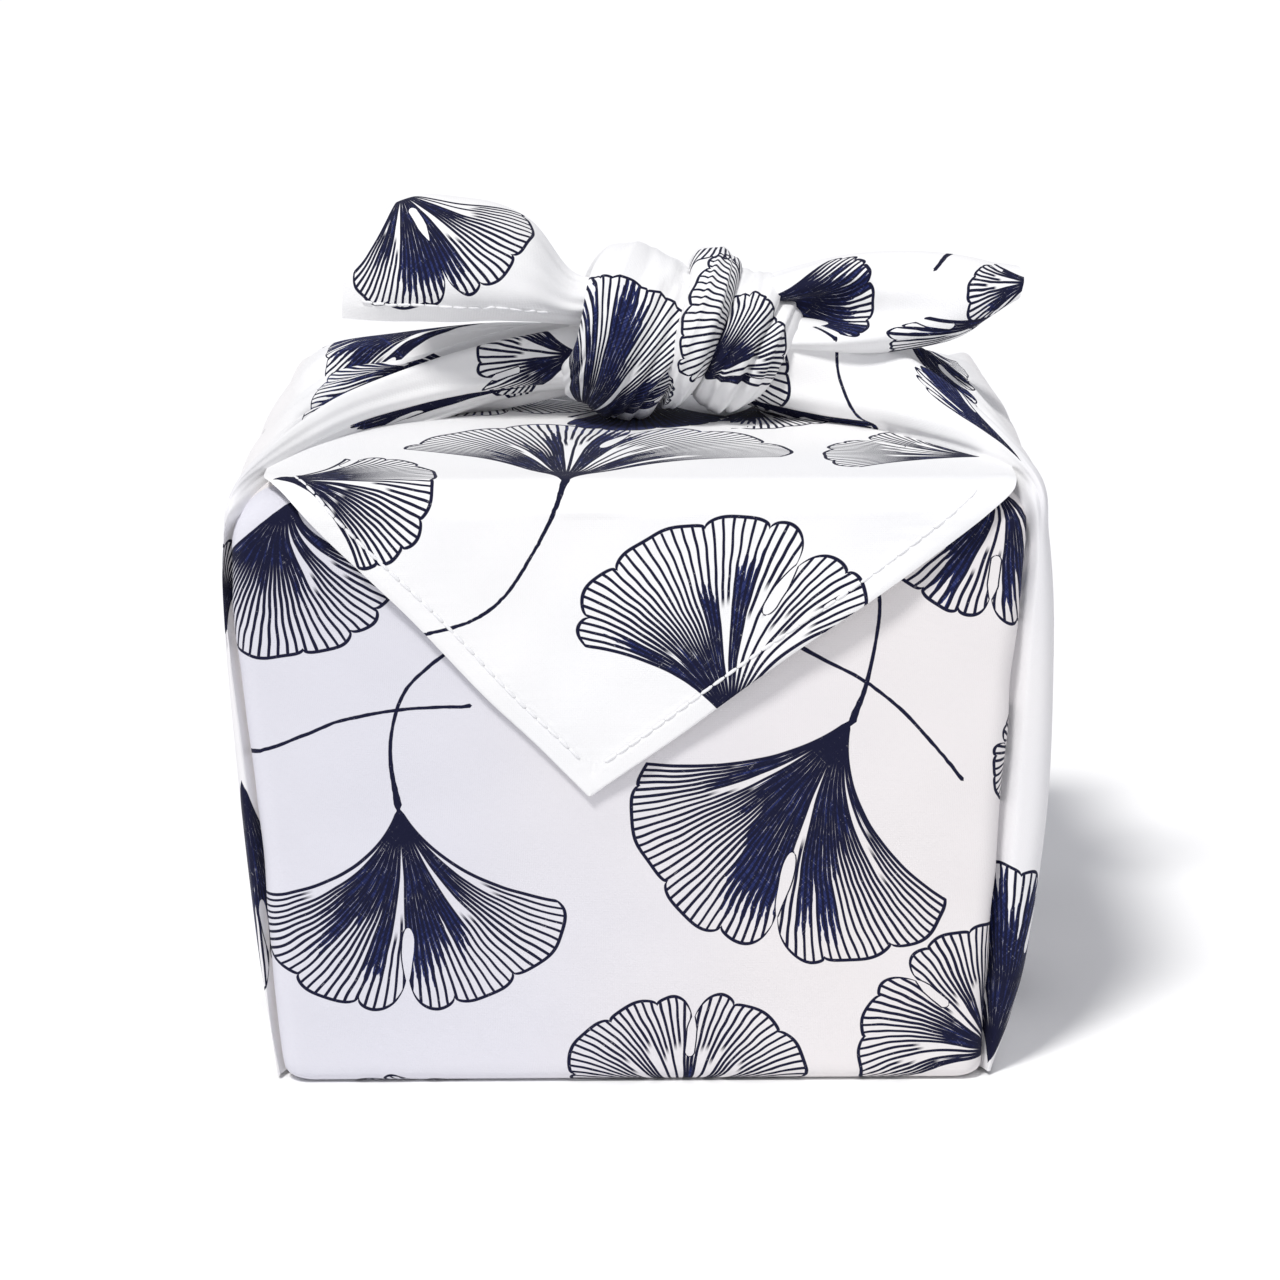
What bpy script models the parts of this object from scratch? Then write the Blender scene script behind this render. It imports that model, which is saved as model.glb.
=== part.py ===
"""Furoshiki wrap: one square cotton cloth folded over a box and tied on top.
One closed solid. Sizes in millimetres, turned into metres by MM.
+X right, -Y front, +Z up; the origin is the middle of the flat underside."""
import bpy
import bmesh
import numpy as np

MM = 0.001
TOP = 147.0      # top of the wrapped box
FRONT = 88.5     # half depth of the wrapped box
FLAP_TIP = (-11.3, 74.1)   # x and z of the hanging corner
FLAP_OUT = 90.2  # how far in front the flap hangs
FLAP_TOP = 149.6
LEAST_LIP = 3.0   # how far a side panel's lip stands out at least

# Half widths of the wrapped box by height: the front panel's edge and the side panel's lip.
BODY = (  # z, left edge, left lip, right edge, right lip
    (0.0, -86.0, -87.0, 84.0, 87.0),
    (6.0, -87.2, -88.6, 84.4, 89.6),
    (15.0, -88.0, -90.8, 84.9, 92.4),
    (28.0, -88.6, -93.0, 85.6, 95.6),
    (50.0, -89.6, -95.0, 86.8, 99.2),
    (75.0, -91.6, -96.4, 87.8, 101.2),
    (100.0, -94.6, -97.2, 89.4, 101.3),
    (120.0, -96.0, -97.2, 91.2, 100.4),
    (135.0, -95.6, -96.4, 92.4, 98.6),
    (147.0, -93.0, -94.4, 92.6, 95.6),
)

# Cloth of the side panels from the foot up over the edge to the knot.
# One row for each fold, from the front fold to the back one.
# side: how far from the front edge (0) to the lip (1), step out, and y.
SIDE = (  # fold, share of the way to the lip, step out, y
    ("tuck", -0.2, -7.0, -70.0),
    ("crease", 0.0, 0.6, -82.0),
    ("nose", 0.45, 0.6, -85.0),
    ("lip", 1.0, -0.6, -80.0),
    ("valley 1", 1.0, 0.9, -62.0),
    ("ridge 2", 1.0, 2.0, -30.0),
    ("valley 2", 1.0, 1.6, 3.0),
    ("ridge 3", 1.0, 2.0, 38.0),
    ("back lip", 1.0, -0.6, 79.0),
    ("back nose", 0.45, 0.6, 85.0),
    ("back crease", 0.0, 0.6, 82.0),
    ("back tuck", -0.2, -7.0, 66.0),
)

# The same folds where they leave the box's edge: shoulder, outer, middle, inner, knot.
FAN_R = (  # fold, x y z at the shoulder, outer, middle, inner, knot
    ("tuck", 84, -72, 140, 76, -46, 143, 62, -24, 145, 48, -9, 147, 22, -2, 156),
    ("crease", 92.4, -86, 146.5, 84.6, -61, 147.8, 64, -26.5, 148.2, 46, -13.5, 149.6, 22, -6, 155),
    ("nose", 94.4, -85, 148.6, 85, -58, 152.6, 64, -29, 155, 47, -20, 157, 22, -13, 160),
    ("lip", 94.8, -80, 149.4, 82, -36, 158.4, 64.4, -16, 167.5, 47, -13, 174, 22, -12, 175),
    ("valley 1", 96.0, -64, 148.0, 81.6, -20, 156.2, 62.5, -5, 164.6, 46, -4, 171.6, 22, -5, 176),
    ("ridge 2", 96.8, -36, 146.8, 82.6, -2, 160.6, 61, 5, 170.6, 45, 4, 174.6, 22, 1, 177),
    ("valley 2", 96.6, 2, 146.4, 83, 18, 155.6, 60, 14, 165.4, 44, 9, 170.6, 22, 5, 174),
    ("ridge 3", 96.6, 38, 147.0, 82, 34, 157.4, 60, 24, 165.6, 44, 14, 168.6, 22, 8, 171),
    ("back lip", 94.8, 80, 148.6, 83, 60, 153.4, 61, 36, 157.6, 44, 21, 162.0, 22, 11, 166),
    ("back nose", 93.6, 85, 147.4, 83, 64, 149.6, 61, 39, 151.4, 44, 21, 155.0, 22, 10, 160),
    ("back crease", 91.6, 84, 145.6, 81, 60, 147.4, 59, 34, 147.8, 43, 15, 149.4, 22, 7, 155),
    ("back tuck", 84, 68, 140, 74, 46, 143, 56, 22, 145, 42, 4, 147, 22, 3, 154),
)
FAN_L = (
    ("tuck", -84, -72, 139, -78, -40, 143, -62, -16, 146, -36, -2, 153, -6, 0, 158),
    ("crease", -92.4, -85, 145.5, -78, -40, 148.2, -62, -13, 150.0, -36, -4, 155.4, -6, -6, 158),
    ("nose", -94.4, -84, 147.6, -79, -41, 151.6, -62.5, -17, 154.8, -36, -10, 159.6, -6, -12, 163),
    ("lip", -94.2, -78, 148.6, -78.6, -33, 155.6, -62, -14, 160.6, -35, -8, 168.6, -6, -9, 174),
    ("valley 1", -93.4, -60, 147.8, -79, -18, 152.6, -62, -5, 157.2, -35, -2, 165.4, -6, -4, 174),
    ("ridge 2", -93.0, -30, 147.8, -79.6, -4, 156.0, -60, 2, 162.4, -36, 4, 169.4, -6, 0, 175),
    ("valley 2", -93.0, 4, 147.4, -80, 13, 156.8, -60, 11, 160.4, -36, 8, 167.8, -6, 4, 174),
    ("ridge 3", -92.6, 40, 148.6, -81, 28, 161.4, -62, 20, 166.8, -36, 13, 171.2, -6, 8, 172),
    ("back lip", -92.6, 78, 148.6, -81, 52, 156.4, -62, 34, 160.6, -36, 20, 165.0, -6, 11, 168),
    ("back nose", -92.4, 84, 147.4, -81, 60, 150.6, -62, 40, 153.0, -36, 22, 158.0, -6, 10, 162),
    ("back crease", -91.4, 83, 145.6, -80, 57, 147.4, -60, 34, 148.0, -35, 15, 152.0, -6, 7, 158),
    ("back tuck", -84, 68, 139, -76, 44, 143, -58, 20, 145, -34, 4, 150, -6, 3, 156),
)

# The wraps of the knot. Each is a band around the strands, leaning to the right at its top.
KNOT = (  # wrap, x, y, z, lean, half height, half depth, width, thickness, narrowing below
    ("left", -1.0, -2.0, 169.0, 27.0, 17.0, 17.5, 34.0, 13.0, 0.28),
    ("middle", 15.0, -3.0, 170.5, 20.0, 17.0, 18.0, 13.0, 12.0, 0.35),
    ("right", 27.0, -3.0, 167.0, 30.0, 13.0, 15.5, 22.0, 14.0, 0.25),
)
KNOT_HEART = (10.0, -2.0, 169.0, 27.0, 16.5, 17.0)  # x y z and half sizes

# The two free ends. One row for each fold line, from the lower front edge over the ridge.
TAIL_L = (  # fold, x y z at the knot, neck, first, second, third, tip
    ("edge", 0, -8, 174, -16, -11.5, 174.6, -28, -17, 176.5, -45, -20, 177.0, -60, -18, 176.6, -73.4, -11, 176.2),
    ("low", 0, -11, 177, -16, -15.5, 177.2, -28, -22, 181.5, -45, -25, 184.0, -60, -22, 184.0, -73.2, -12, 181.0),
    ("belly", 0, -11, 180.4, -15.5, -15, 180.8, -27, -20, 188.0, -45, -24, 192.5, -60, -21, 192.0, -72.4, -12, 187.6),
    ("brow", 0, -8, 183.4, -15.5, -10.6, 184.0, -27, -14, 196.0, -45, -17, 201.6, -59.6, -15, 200.6, -69.6, -10.5, 194.4),
    ("ridge", 0, -3, 184.4, -15, -4, 185.6, -27, -4, 200.0, -46, -5, 206.0, -58.6, -5, 204.8, -67, -7, 199.0),
    ("back brow", 0, 2, 182.6, -15, 2, 183.4, -27, 4, 196.6, -45, 6, 201.8, -57.6, 5, 200.6, -65, -1, 196.0),
    ("back", 0, 4, 178.6, -15, 5, 178.6, -27, 9, 188.0, -44, 12, 191.8, -56, 10, 191.0, -63, 3, 188.6),
)
TAIL_R = (
    ("edge", 24, -6, 168, 42, -13, 167.8, 54, -17, 168.0, 66, -17, 168.4, 82, -15, 172.0, 93.6, -9, 179.6),
    ("lip", 24, -11, 170, 42, -18, 171.0, 54, -22, 172.0, 66, -22, 172.8, 82, -19, 175.0, 96.6, -13.4, 181.2),
    ("valley", 24, -8, 173, 42, -11, 174.6, 54, -13, 175.6, 66, -18, 178.0, 82, -19, 180.0, 98.2, -12.4, 184.2),
    ("wall", 24, -9, 177, 42, -11, 179.6, 54, -13, 182.4, 66, -17, 184.2, 82, -16, 185.0, 98.4, -9.4, 186.4),
    ("roll", 24, -11, 180, 42, -15, 184.4, 54, -15, 187.6, 67, -12, 188.8, 83, -10, 188.8, 97.8, -5.6, 187.4),
    ("ridge", 24, -6, 182, 42, -7, 187.8, 55, -6, 190.8, 69, -4, 191.4, 84, -3, 190.2, 96.6, -1.6, 187.0),
    ("back brow", 24, 0, 181, 43, 2, 185.4, 56, 4, 187.6, 69, 6, 187.8, 84, 6, 187.0, 95.2, 2.2, 185.0),
    ("back", 24, 4, 177, 43, 7, 178.4, 56, 9, 179.4, 69, 11, 180.0, 83, 9, 181.6, 94, 4, 182.2),
)


def spline(rows, count, closed=False):
    """Smooth curve through rows (first axis), sampled count times."""
    p = np.asarray(rows, float)
    n = len(p)
    if closed:
        t = np.arange(count) * n / count
        i = np.floor(t).astype(int)
        a, b, c, d = (p[(i + k) % n] for k in (-1, 0, 1, 2))
    else:
        t = np.linspace(0, n - 1, count)
        i = np.minimum(np.floor(t).astype(int), n - 2)
        q = np.concatenate([[2 * p[0] - p[1]], p, [2 * p[-1] - p[-2]]])
        a, b, c, d = (q[i + k] for k in (0, 1, 2, 3))
    f = (t - i).reshape((-1,) + (1,) * (p.ndim - 1))
    return 0.5 * (2 * b + (c - a) * f + (2 * a - 5 * b + 4 * c - d) * f**2 + (3 * b - a - 3 * c + d) * f**3)


def look(table, z, column):
    t = np.array([[r[0], r[column]] for r in table])
    return float(np.interp(z, t[:, 0], t[:, 1]))


def fan(table, left):
    """Folds of a side panel and its strap: array of folds by stations."""
    edge, lip = (1, 2) if left else (3, 4)
    sign = -1 if left else 1
    grid = []
    for (name, share, step, y), row in zip(SIDE, table):
        line = []
        for z in (1.0, 14.0, 32.0, 70.0, 110.0, 134.0):
            a, b = look(BODY, z, edge), look(BODY, z, lip)
            b = a + sign * max(abs(b - a), LEAST_LIP)
            tame = min(1.0, abs(b - a) / 6.0)
            if share < 0:
                x = a + sign * step
            else:
                x = a + (b - a) * share + sign * step
            yy = y if abs(y) < 80 else y - np.sign(y) * 0.8 * (1 - tame)
            line.append((x, yy, max(z, 1.0)))
        s = row[1:]
        line += [tuple(s[3 * k:3 * k + 3]) for k in range(5)]
        grid.append(line)
    return np.array(grid)


def add(name, verts, faces, operand=True):
    me = bpy.data.meshes.new(name)
    me.from_pydata([tuple(v * MM) for v in np.asarray(verts, float)], [], faces)
    bm = bmesh.new()
    bm.from_mesh(me)
    bmesh.ops.recalc_face_normals(bm, faces=bm.faces)
    bm.to_mesh(me)
    bm.free()
    ob = bpy.data.objects.new(name, me)
    bpy.context.scene.collection.objects.link(ob)
    if operand:
        ob.hide_render = True
        ob.display_type = "WIRE"
    return ob


def tube(grid, name):
    """Closed body from rings: grid is ring by point."""
    m, n = grid.shape[:2]
    verts = grid.reshape(-1, 3)
    faces = [(i * n + j, i * n + (j + 1) % n, (i + 1) * n + (j + 1) % n, (i + 1) * n + j)
             for i in range(m - 1) for j in range(n)]
    faces.append(tuple(range(n))[::-1])
    faces.append(tuple((m - 1) * n + j for j in range(n)))
    return add(name, verts, faces)


def slab(grid, thick, name):
    """Closed sheet of the given thickness around a grid of points."""
    m, n = grid.shape[:2]
    du = np.gradient(grid, axis=0)
    dv = np.gradient(grid, axis=1)
    nrm = np.cross(du, dv)
    nrm /= np.linalg.norm(nrm, axis=2, keepdims=True) + 1e-9
    a = (grid + nrm * thick / 2).reshape(-1, 3)
    b = (grid - nrm * thick / 2).reshape(-1, 3)
    k = m * n
    faces = []
    for i in range(m - 1):
        for j in range(n - 1):
            q = (i * n + j, i * n + j + 1, (i + 1) * n + j + 1, (i + 1) * n + j)
            faces += [q, tuple(k + v for v in q[::-1])]
    rim = ([(0, j) for j in range(n - 1)] + [(i, n - 1) for i in range(m - 1)]
           + [(m - 1, j) for j in range(n - 1, 0, -1)] + [(i, 0) for i in range(m - 1, 0, -1)])
    for (i, j), (p, q) in zip(rim, rim[1:] + rim[:1]):
        faces.append((i * n + j, p * n + q, k + p * n + q, k + i * n + j))
    return add(name, np.concatenate([a, b]), faces)


def ring(row, around, across, name):
    """One wrap of the knot: a closed band."""
    _, x, y, z, lean, high, deep, wide, thick, narrow = row
    s = np.radians(lean)
    d1 = np.array([np.sin(s), 0, np.cos(s)])
    d2 = np.array([0, -1.0, 0])
    nn = np.array([np.cos(s), 0, -np.sin(s)])
    verts, faces = [], []
    for i in range(around):
        f = 2 * np.pi * i / around
        c = np.array([x, y, z]) + d1 * high * np.cos(f) + d2 * deep * np.sin(f)
        r = d1 * np.cos(f) / high + d2 * np.sin(f) / deep
        r /= np.linalg.norm(r)
        w = wide * (1 - narrow * (0.5 - 0.5 * np.cos(f)))
        for j in range(across):
            g = 2 * np.pi * (j + 0.5) / across
            cg, sg = np.cos(g), np.sin(g)
            cg = np.sign(cg) * abs(cg) ** 0.75
            verts.append(c + nn * cg * w / 2 + r * sg * thick / 2)
    for i in range(around):
        for j in range(across):
            p, q = (i + 1) % around, (j + 1) % across
            faces.append((i * across + j, i * across + q, p * across + q, p * across + j))
    return add(name, verts, faces)


def body():
    """The wrapped box itself, up to its top."""
    rings = []
    for z, inset in ((0, 3.2), (0.9, 1.2), (3, 0), (15, 0), (32, 0), (55, 0), (80, 0), (105, 0), (125, 0),
                     (138, 0), (142.5, 0.9), (145.6, 3.0), (147, 7.0)):
        l, r = look(BODY, z, 1), look(BODY, z, 3)
        bow = 1.2 * np.sin(np.pi * z / TOP)
        f = FRONT - inset
        ring_ = []
        for x0, y0, k in ((r, -f, 0), (r, f, 1), (l, f, 2), (l, -f, 3)):
            sx = 1 if x0 > 0 else -1
            sy = 1 if y0 > 0 else -1
            cx, cy = x0 - sx * (5 + inset), y0 - sy * 5
            start = (-90, 0, 90, 180)[k]
            for a in (0, 22.5, 45, 67.5, 90):
                t = np.radians(start + a)
                ring_.append((cx + 5 * np.cos(t), cy + 5 * np.sin(t), z))
            nx, ny = [(r, f), (l, f), (l, -f), (r, -f)][k]
            # two points along the next face
            ex = cx + 5 * np.cos(np.radians(start + 90))
            ey = cy + 5 * np.sin(np.radians(start + 90))
            gx = nx - (1 if nx > 0 else -1) * (5 + inset)
            gy = ny - (1 if ny > 0 else -1) * 5
            if k in (1, 3):
                for s in (0.25, 0.5, 0.75):
                    ring_.append((ex + (gx - ex) * s, ey + sy * bow * np.sin(np.pi * s), z))
            else:
                for s in (0.25, 0.5, 0.75):
                    ring_.append((ex, ey + (gy - ey) * s, z))
        rings.append(ring_)
    return tube(np.array(rings, float), "box part")


def flap_point(x, s):
    """Where the flap's point lies: x and s, the way up from the hanging corner."""
    r = FLAP_OUT - FRONT + 6.0
    hang = FLAP_TOP - r - FLAP_TIP[1]
    side = np.clip((x + 20) / 90, 0, 1)
    gap = 1.0 + 4.6 * side * np.clip(s / 30, 0, 1)
    gap *= np.clip((hang + 6 - s) / 42, 0, 1)
    if s < hang:
        return (x, -FLAP_OUT - gap, FLAP_TIP[1] + s)
    a = (s - hang) / r
    if a < np.pi / 2:
        return (x, -(FLAP_OUT - r) - r * np.cos(a) - gap, FLAP_TOP - r + r * np.sin(a))
    y = -(FLAP_OUT - r) + (s - hang - r * np.pi / 2)
    drop = 1.4 * np.clip((y - 60) / 22, 0, 1) ** 2
    return (x, y, FLAP_TOP - drop)


def flap(rows, cols):
    grid = []
    for s in rows:
        lo = max(FLAP_TIP[0] - 0.8 - 0.964 * s, -88.5)
        hi = min(FLAP_TIP[0] + 0.8 + 1.367 * s, 90.0)
        grid.append([flap_point(lo + (hi - lo) * t, s) for t in np.linspace(0, 1, cols)])
    return np.array(grid)


def main():
    for ob in list(bpy.data.objects):
        bpy.data.objects.remove(ob, do_unlink=True)
    parts = [body()]
    for table, left, name in ((FAN_L, True, "left panel and strap"), (FAN_R, False, "right panel and strap")):
        g = fan(table, left)
        g = spline(g, 30, closed=True)
        g = spline(g.transpose(1, 0, 2), 26)
        parts.append(tube(g, name))
    parts.append(slab(flap([0, 8, 18, 30, 42, 54, 62, 68, 72, 76, 80, 90, 110, 140, 170, 200, 225, 240], 14),
                      2.4, "flap"))
    for row in KNOT:
        parts.append(ring(row, 24, 14, "wrap " + row[0]))
    for table, name in ((TAIL_L, "left end"), (TAIL_R, "right end")):
        t = np.array([[r[1 + 3 * k:4 + 3 * k] for k in range(6)] for r in table])
        g = spline(spline(t, 15).transpose(1, 0, 2), 14)
        parts.append(slab(g, 2.4, name))
    # heart of the knot
    x, y, z, a, b, c = KNOT_HEART
    me = bpy.data.meshes.new("heart")
    bm = bmesh.new()
    bmesh.ops.create_uvsphere(bm, u_segments=16, v_segments=10, radius=1.0)
    for v in bm.verts:
        v.co = ((x + a * v.co.x) * MM, (y + b * v.co.y) * MM, (z + c * v.co.z) * MM)
    bm.to_mesh(me)
    bm.free()
    heart = bpy.data.objects.new("heart", me)
    bpy.context.scene.collection.objects.link(heart)
    heart.hide_render = True
    heart.display_type = "WIRE"
    parts.append(heart)

    mat = bpy.data.materials.new("printed cotton")
    mat.use_nodes = True
    b = mat.node_tree.nodes["Principled BSDF"]
    b.inputs["Base Color"].default_value = (0.86, 0.86, 0.89, 1)
    b.inputs["Roughness"].default_value = 0.85
    base = parts[0]
    base.name = "cloth"
    base.hide_render = False
    base.display_type = "TEXTURED"
    base.data.materials.append(mat)
    for p in parts[1:]:
        m = base.modifiers.new(p.name, "BOOLEAN")
        m.operation = "UNION"
        m.solver = "EXACT"
        m.object = p


main()
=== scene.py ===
"""Looks of the furoshiki wrap: printed cotton over a box, tied on top.
Sizes are in millimetres and turned into metres by MM."""
import math

import bpy
import numpy as np
from mathutils import Matrix, Vector


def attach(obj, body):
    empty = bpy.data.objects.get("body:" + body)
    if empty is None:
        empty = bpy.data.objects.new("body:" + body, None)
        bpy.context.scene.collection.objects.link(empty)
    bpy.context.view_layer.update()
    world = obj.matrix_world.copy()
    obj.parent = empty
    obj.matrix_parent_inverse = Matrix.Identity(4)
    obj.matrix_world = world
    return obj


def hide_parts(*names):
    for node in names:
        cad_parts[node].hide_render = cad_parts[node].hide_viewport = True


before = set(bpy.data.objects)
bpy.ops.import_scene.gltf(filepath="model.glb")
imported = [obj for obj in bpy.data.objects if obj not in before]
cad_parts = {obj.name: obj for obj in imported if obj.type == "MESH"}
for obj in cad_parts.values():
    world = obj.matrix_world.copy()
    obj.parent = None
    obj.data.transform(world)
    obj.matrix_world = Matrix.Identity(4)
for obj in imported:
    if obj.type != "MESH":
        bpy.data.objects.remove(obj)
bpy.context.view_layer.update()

MM = 0.001
TOP = 147.0      # top of the wrapped box
FRONT = 88.5     # half depth of the wrapped box
FLAP_TIP = (-11.3, 74.1)   # x and z of the hanging corner
FLAP_OUT = 90.2
FLAP_TOP = 149.6
LEAST_LIP = 3.0
HEM = 6.0        # width of the stitched hem
PLY = 0.45       # thickness of the cotton

BODY = (  # z, left edge, left lip, right edge, right lip
    (0.0, -86.0, -87.0, 84.0, 87.0),
    (6.0, -87.2, -88.6, 84.4, 89.6),
    (15.0, -88.0, -90.8, 84.9, 92.4),
    (28.0, -88.6, -93.0, 85.6, 95.6),
    (50.0, -89.6, -95.0, 86.8, 99.2),
    (75.0, -91.6, -96.4, 87.8, 101.2),
    (100.0, -94.6, -97.2, 89.4, 101.3),
    (120.0, -96.0, -97.2, 91.2, 100.4),
    (135.0, -95.6, -96.4, 92.4, 98.6),
    (147.0, -93.0, -94.4, 92.6, 95.6),
)

SIDE = (  # fold, share of the way to the lip, step out, y
    ("tuck", -0.2, -9.0, -62.0),
    ("crease", 0.0, 0.6, -82.0),
    ("nose", 0.45, 0.6, -85.0),
    ("lip", 1.0, -0.6, -80.0),
    ("valley 1", 1.0, 0.9, -62.0),
    ("ridge 2", 1.0, 2.0, -30.0),
    ("valley 2", 1.0, 1.6, 3.0),
    ("ridge 3", 1.0, 2.0, 38.0),
    ("back lip", 1.0, -0.6, 79.0),
    ("back nose", 0.45, 0.6, 85.0),
    ("back crease", 0.0, 0.6, 82.0),
    ("back tuck", -0.2, -7.0, 66.0),
)

FAN_R = (  # fold, x y z at the shoulder, outer, middle, inner, knot
    ("tuck", 80, -58, 137, 74, -42, 142, 62, -24, 145, 48, -9, 147, 22, -2, 156),
    ("crease", 91.4, -82.5, 144.6, 84.6, -61, 147.8, 64, -26.5, 148.2, 46, -13.5, 149.6, 22, -6, 155),
    ("nose", 94.0, -82.5, 148.0, 85, -57, 152.6, 64, -29, 155, 47, -20, 157, 22, -13, 160),
    ("lip", 94.8, -80, 149.4, 82, -36, 158.4, 64.4, -16, 167.5, 47, -13, 174, 22, -12, 175),
    ("valley 1", 96.0, -64, 148.0, 81.6, -20, 156.2, 62.5, -5, 164.6, 46, -4, 171.6, 22, -5, 176),
    ("ridge 2", 96.8, -36, 146.8, 82.6, -2, 160.6, 61, 5, 170.6, 45, 4, 174.6, 22, 1, 177),
    ("valley 2", 96.6, 2, 146.4, 83, 18, 155.6, 60, 14, 165.4, 44, 9, 170.6, 22, 5, 174),
    ("ridge 3", 96.6, 38, 147.0, 82, 34, 157.4, 60, 24, 165.6, 44, 14, 168.6, 22, 8, 171),
    ("back lip", 94.8, 80, 148.6, 83, 60, 153.4, 61, 36, 157.6, 44, 21, 162.0, 22, 11, 166),
    ("back nose", 93.6, 85, 147.4, 83, 64, 149.6, 61, 39, 151.4, 44, 21, 155.0, 22, 10, 160),
    ("back crease", 91.6, 84, 145.6, 81, 60, 147.4, 59, 34, 147.8, 43, 15, 149.4, 22, 7, 155),
    ("back tuck", 84, 68, 140, 74, 46, 143, 56, 22, 145, 42, 4, 147, 22, 3, 154),
)
FAN_L = (
    ("tuck", -80, -58, 136, -75, -36, 142, -62, -16, 146, -36, -2, 153, -6, 0, 158),
    ("crease", -91.4, -82, 144.2, -78, -40, 148.2, -62, -13, 150.0, -36, -4, 155.4, -6, -6, 158),
    ("nose", -94.0, -82, 147.2, -79, -41, 151.6, -62.5, -17, 154.8, -36, -10, 159.6, -6, -12, 163),
    ("lip", -94.2, -78, 148.6, -78.6, -33, 155.6, -62, -14, 160.6, -35, -8, 168.6, -6, -9, 174),
    ("valley 1", -93.4, -60, 147.8, -79, -18, 152.6, -62, -5, 157.2, -35, -2, 165.4, -6, -4, 174),
    ("ridge 2", -93.0, -30, 147.8, -79.6, -4, 156.0, -60, 2, 162.4, -36, 4, 169.4, -6, 0, 175),
    ("valley 2", -93.0, 4, 147.4, -80, 13, 156.8, -60, 11, 160.4, -36, 8, 167.8, -6, 4, 174),
    ("ridge 3", -92.6, 40, 148.6, -81, 28, 161.4, -62, 20, 166.8, -36, 13, 171.2, -6, 8, 172),
    ("back lip", -92.6, 78, 148.6, -81, 52, 156.4, -62, 34, 160.6, -36, 20, 165.0, -6, 11, 168),
    ("back nose", -92.4, 84, 147.4, -81, 60, 150.6, -62, 40, 153.0, -36, 22, 158.0, -6, 10, 162),
    ("back crease", -91.4, 83, 145.6, -80, 57, 147.4, -60, 34, 148.0, -35, 15, 152.0, -6, 7, 158),
    ("back tuck", -84, 68, 139, -76, 44, 143, -58, 20, 145, -34, 4, 150, -6, 3, 156),
)

KNOT = (  # wrap, x, y, z, lean, half height, half depth, width, thickness, narrowing below
    ("left", -1.0, -2.0, 169.0, 27.0, 17.0, 17.5, 34.0, 13.0, 0.28),
    ("middle", 15.0, -3.0, 170.5, 20.0, 17.0, 18.0, 13.0, 12.0, 0.35),
    ("right", 27.0, -3.0, 167.0, 30.0, 13.0, 15.5, 22.0, 14.0, 0.25),
)
KNOT_HEART = (10.0, -2.0, 170.0, 27.0, 15.5, 14.5)

TAIL_L = (  # fold, x y z at the knot, neck, first, second, third, tip
    ("edge", 0, -8, 174, -16, -11.5, 174.6, -28, -17, 176.5, -45, -20, 177.0, -60, -18, 176.6, -73.4, -11, 176.2),
    ("low", 0, -11, 177, -16, -15.5, 177.2, -28, -22, 181.5, -45, -25, 184.0, -60, -22, 184.0, -73.2, -12, 181.0),
    ("belly", 0, -11, 180.4, -15.5, -15, 180.8, -27, -20, 188.0, -45, -24, 192.5, -60, -21, 192.0, -72.4, -12, 187.6),
    ("brow", 0, -8, 183.4, -15.5, -10.6, 184.0, -27, -14, 196.0, -45, -17, 201.6, -59.6, -15, 200.6, -69.6, -10.5, 194.4),
    ("ridge", 0, -3, 184.4, -15, -4, 185.6, -27, -4, 200.0, -46, -5, 206.0, -58.6, -5, 204.8, -67, -7, 199.0),
    ("back brow", 0, 2, 182.6, -15, 2, 183.4, -27, 4, 196.6, -45, 6, 201.8, -57.6, 5, 200.6, -65, -1, 196.0),
    ("back", 0, 4, 178.6, -15, 5, 178.6, -27, 9, 188.0, -44, 12, 191.8, -56, 10, 191.0, -63, 3, 188.6),
)
TAIL_R = (
    ("edge", 24, -6, 168, 42, -13, 167.8, 54, -17, 168.0, 66, -17, 168.4, 82, -15, 172.0, 93.6, -9, 179.6),
    ("lip", 24, -11, 170, 42, -18, 171.0, 54, -22, 172.0, 66, -22, 172.8, 82, -19, 175.0, 96.6, -13.4, 181.2),
    ("valley", 24, -8, 173, 42, -11, 174.6, 54, -13, 175.6, 66, -18, 178.0, 82, -19, 180.0, 98.2, -12.4, 184.2),
    ("wall", 24, -9, 177, 42, -11, 179.6, 54, -13, 182.4, 66, -17, 184.2, 82, -16, 185.0, 98.4, -9.4, 186.4),
    ("roll", 24, -11, 180, 42, -15, 184.4, 54, -15, 187.6, 67, -12, 188.8, 83, -10, 188.8, 97.8, -5.6, 187.4),
    ("ridge", 24, -6, 182, 42, -7, 187.8, 55, -6, 190.8, 69, -4, 191.4, 84, -3, 190.2, 96.6, -1.6, 187.0),
    ("back brow", 24, 0, 181, 43, 2, 185.4, 56, 4, 187.6, 69, 6, 187.8, 84, 6, 187.0, 95.2, 2.2, 185.0),
    ("back", 24, 4, 177, 43, 7, 178.4, 56, 9, 179.4, 69, 11, 180.0, 83, 9, 181.6, 94, 4, 182.2),
)

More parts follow.
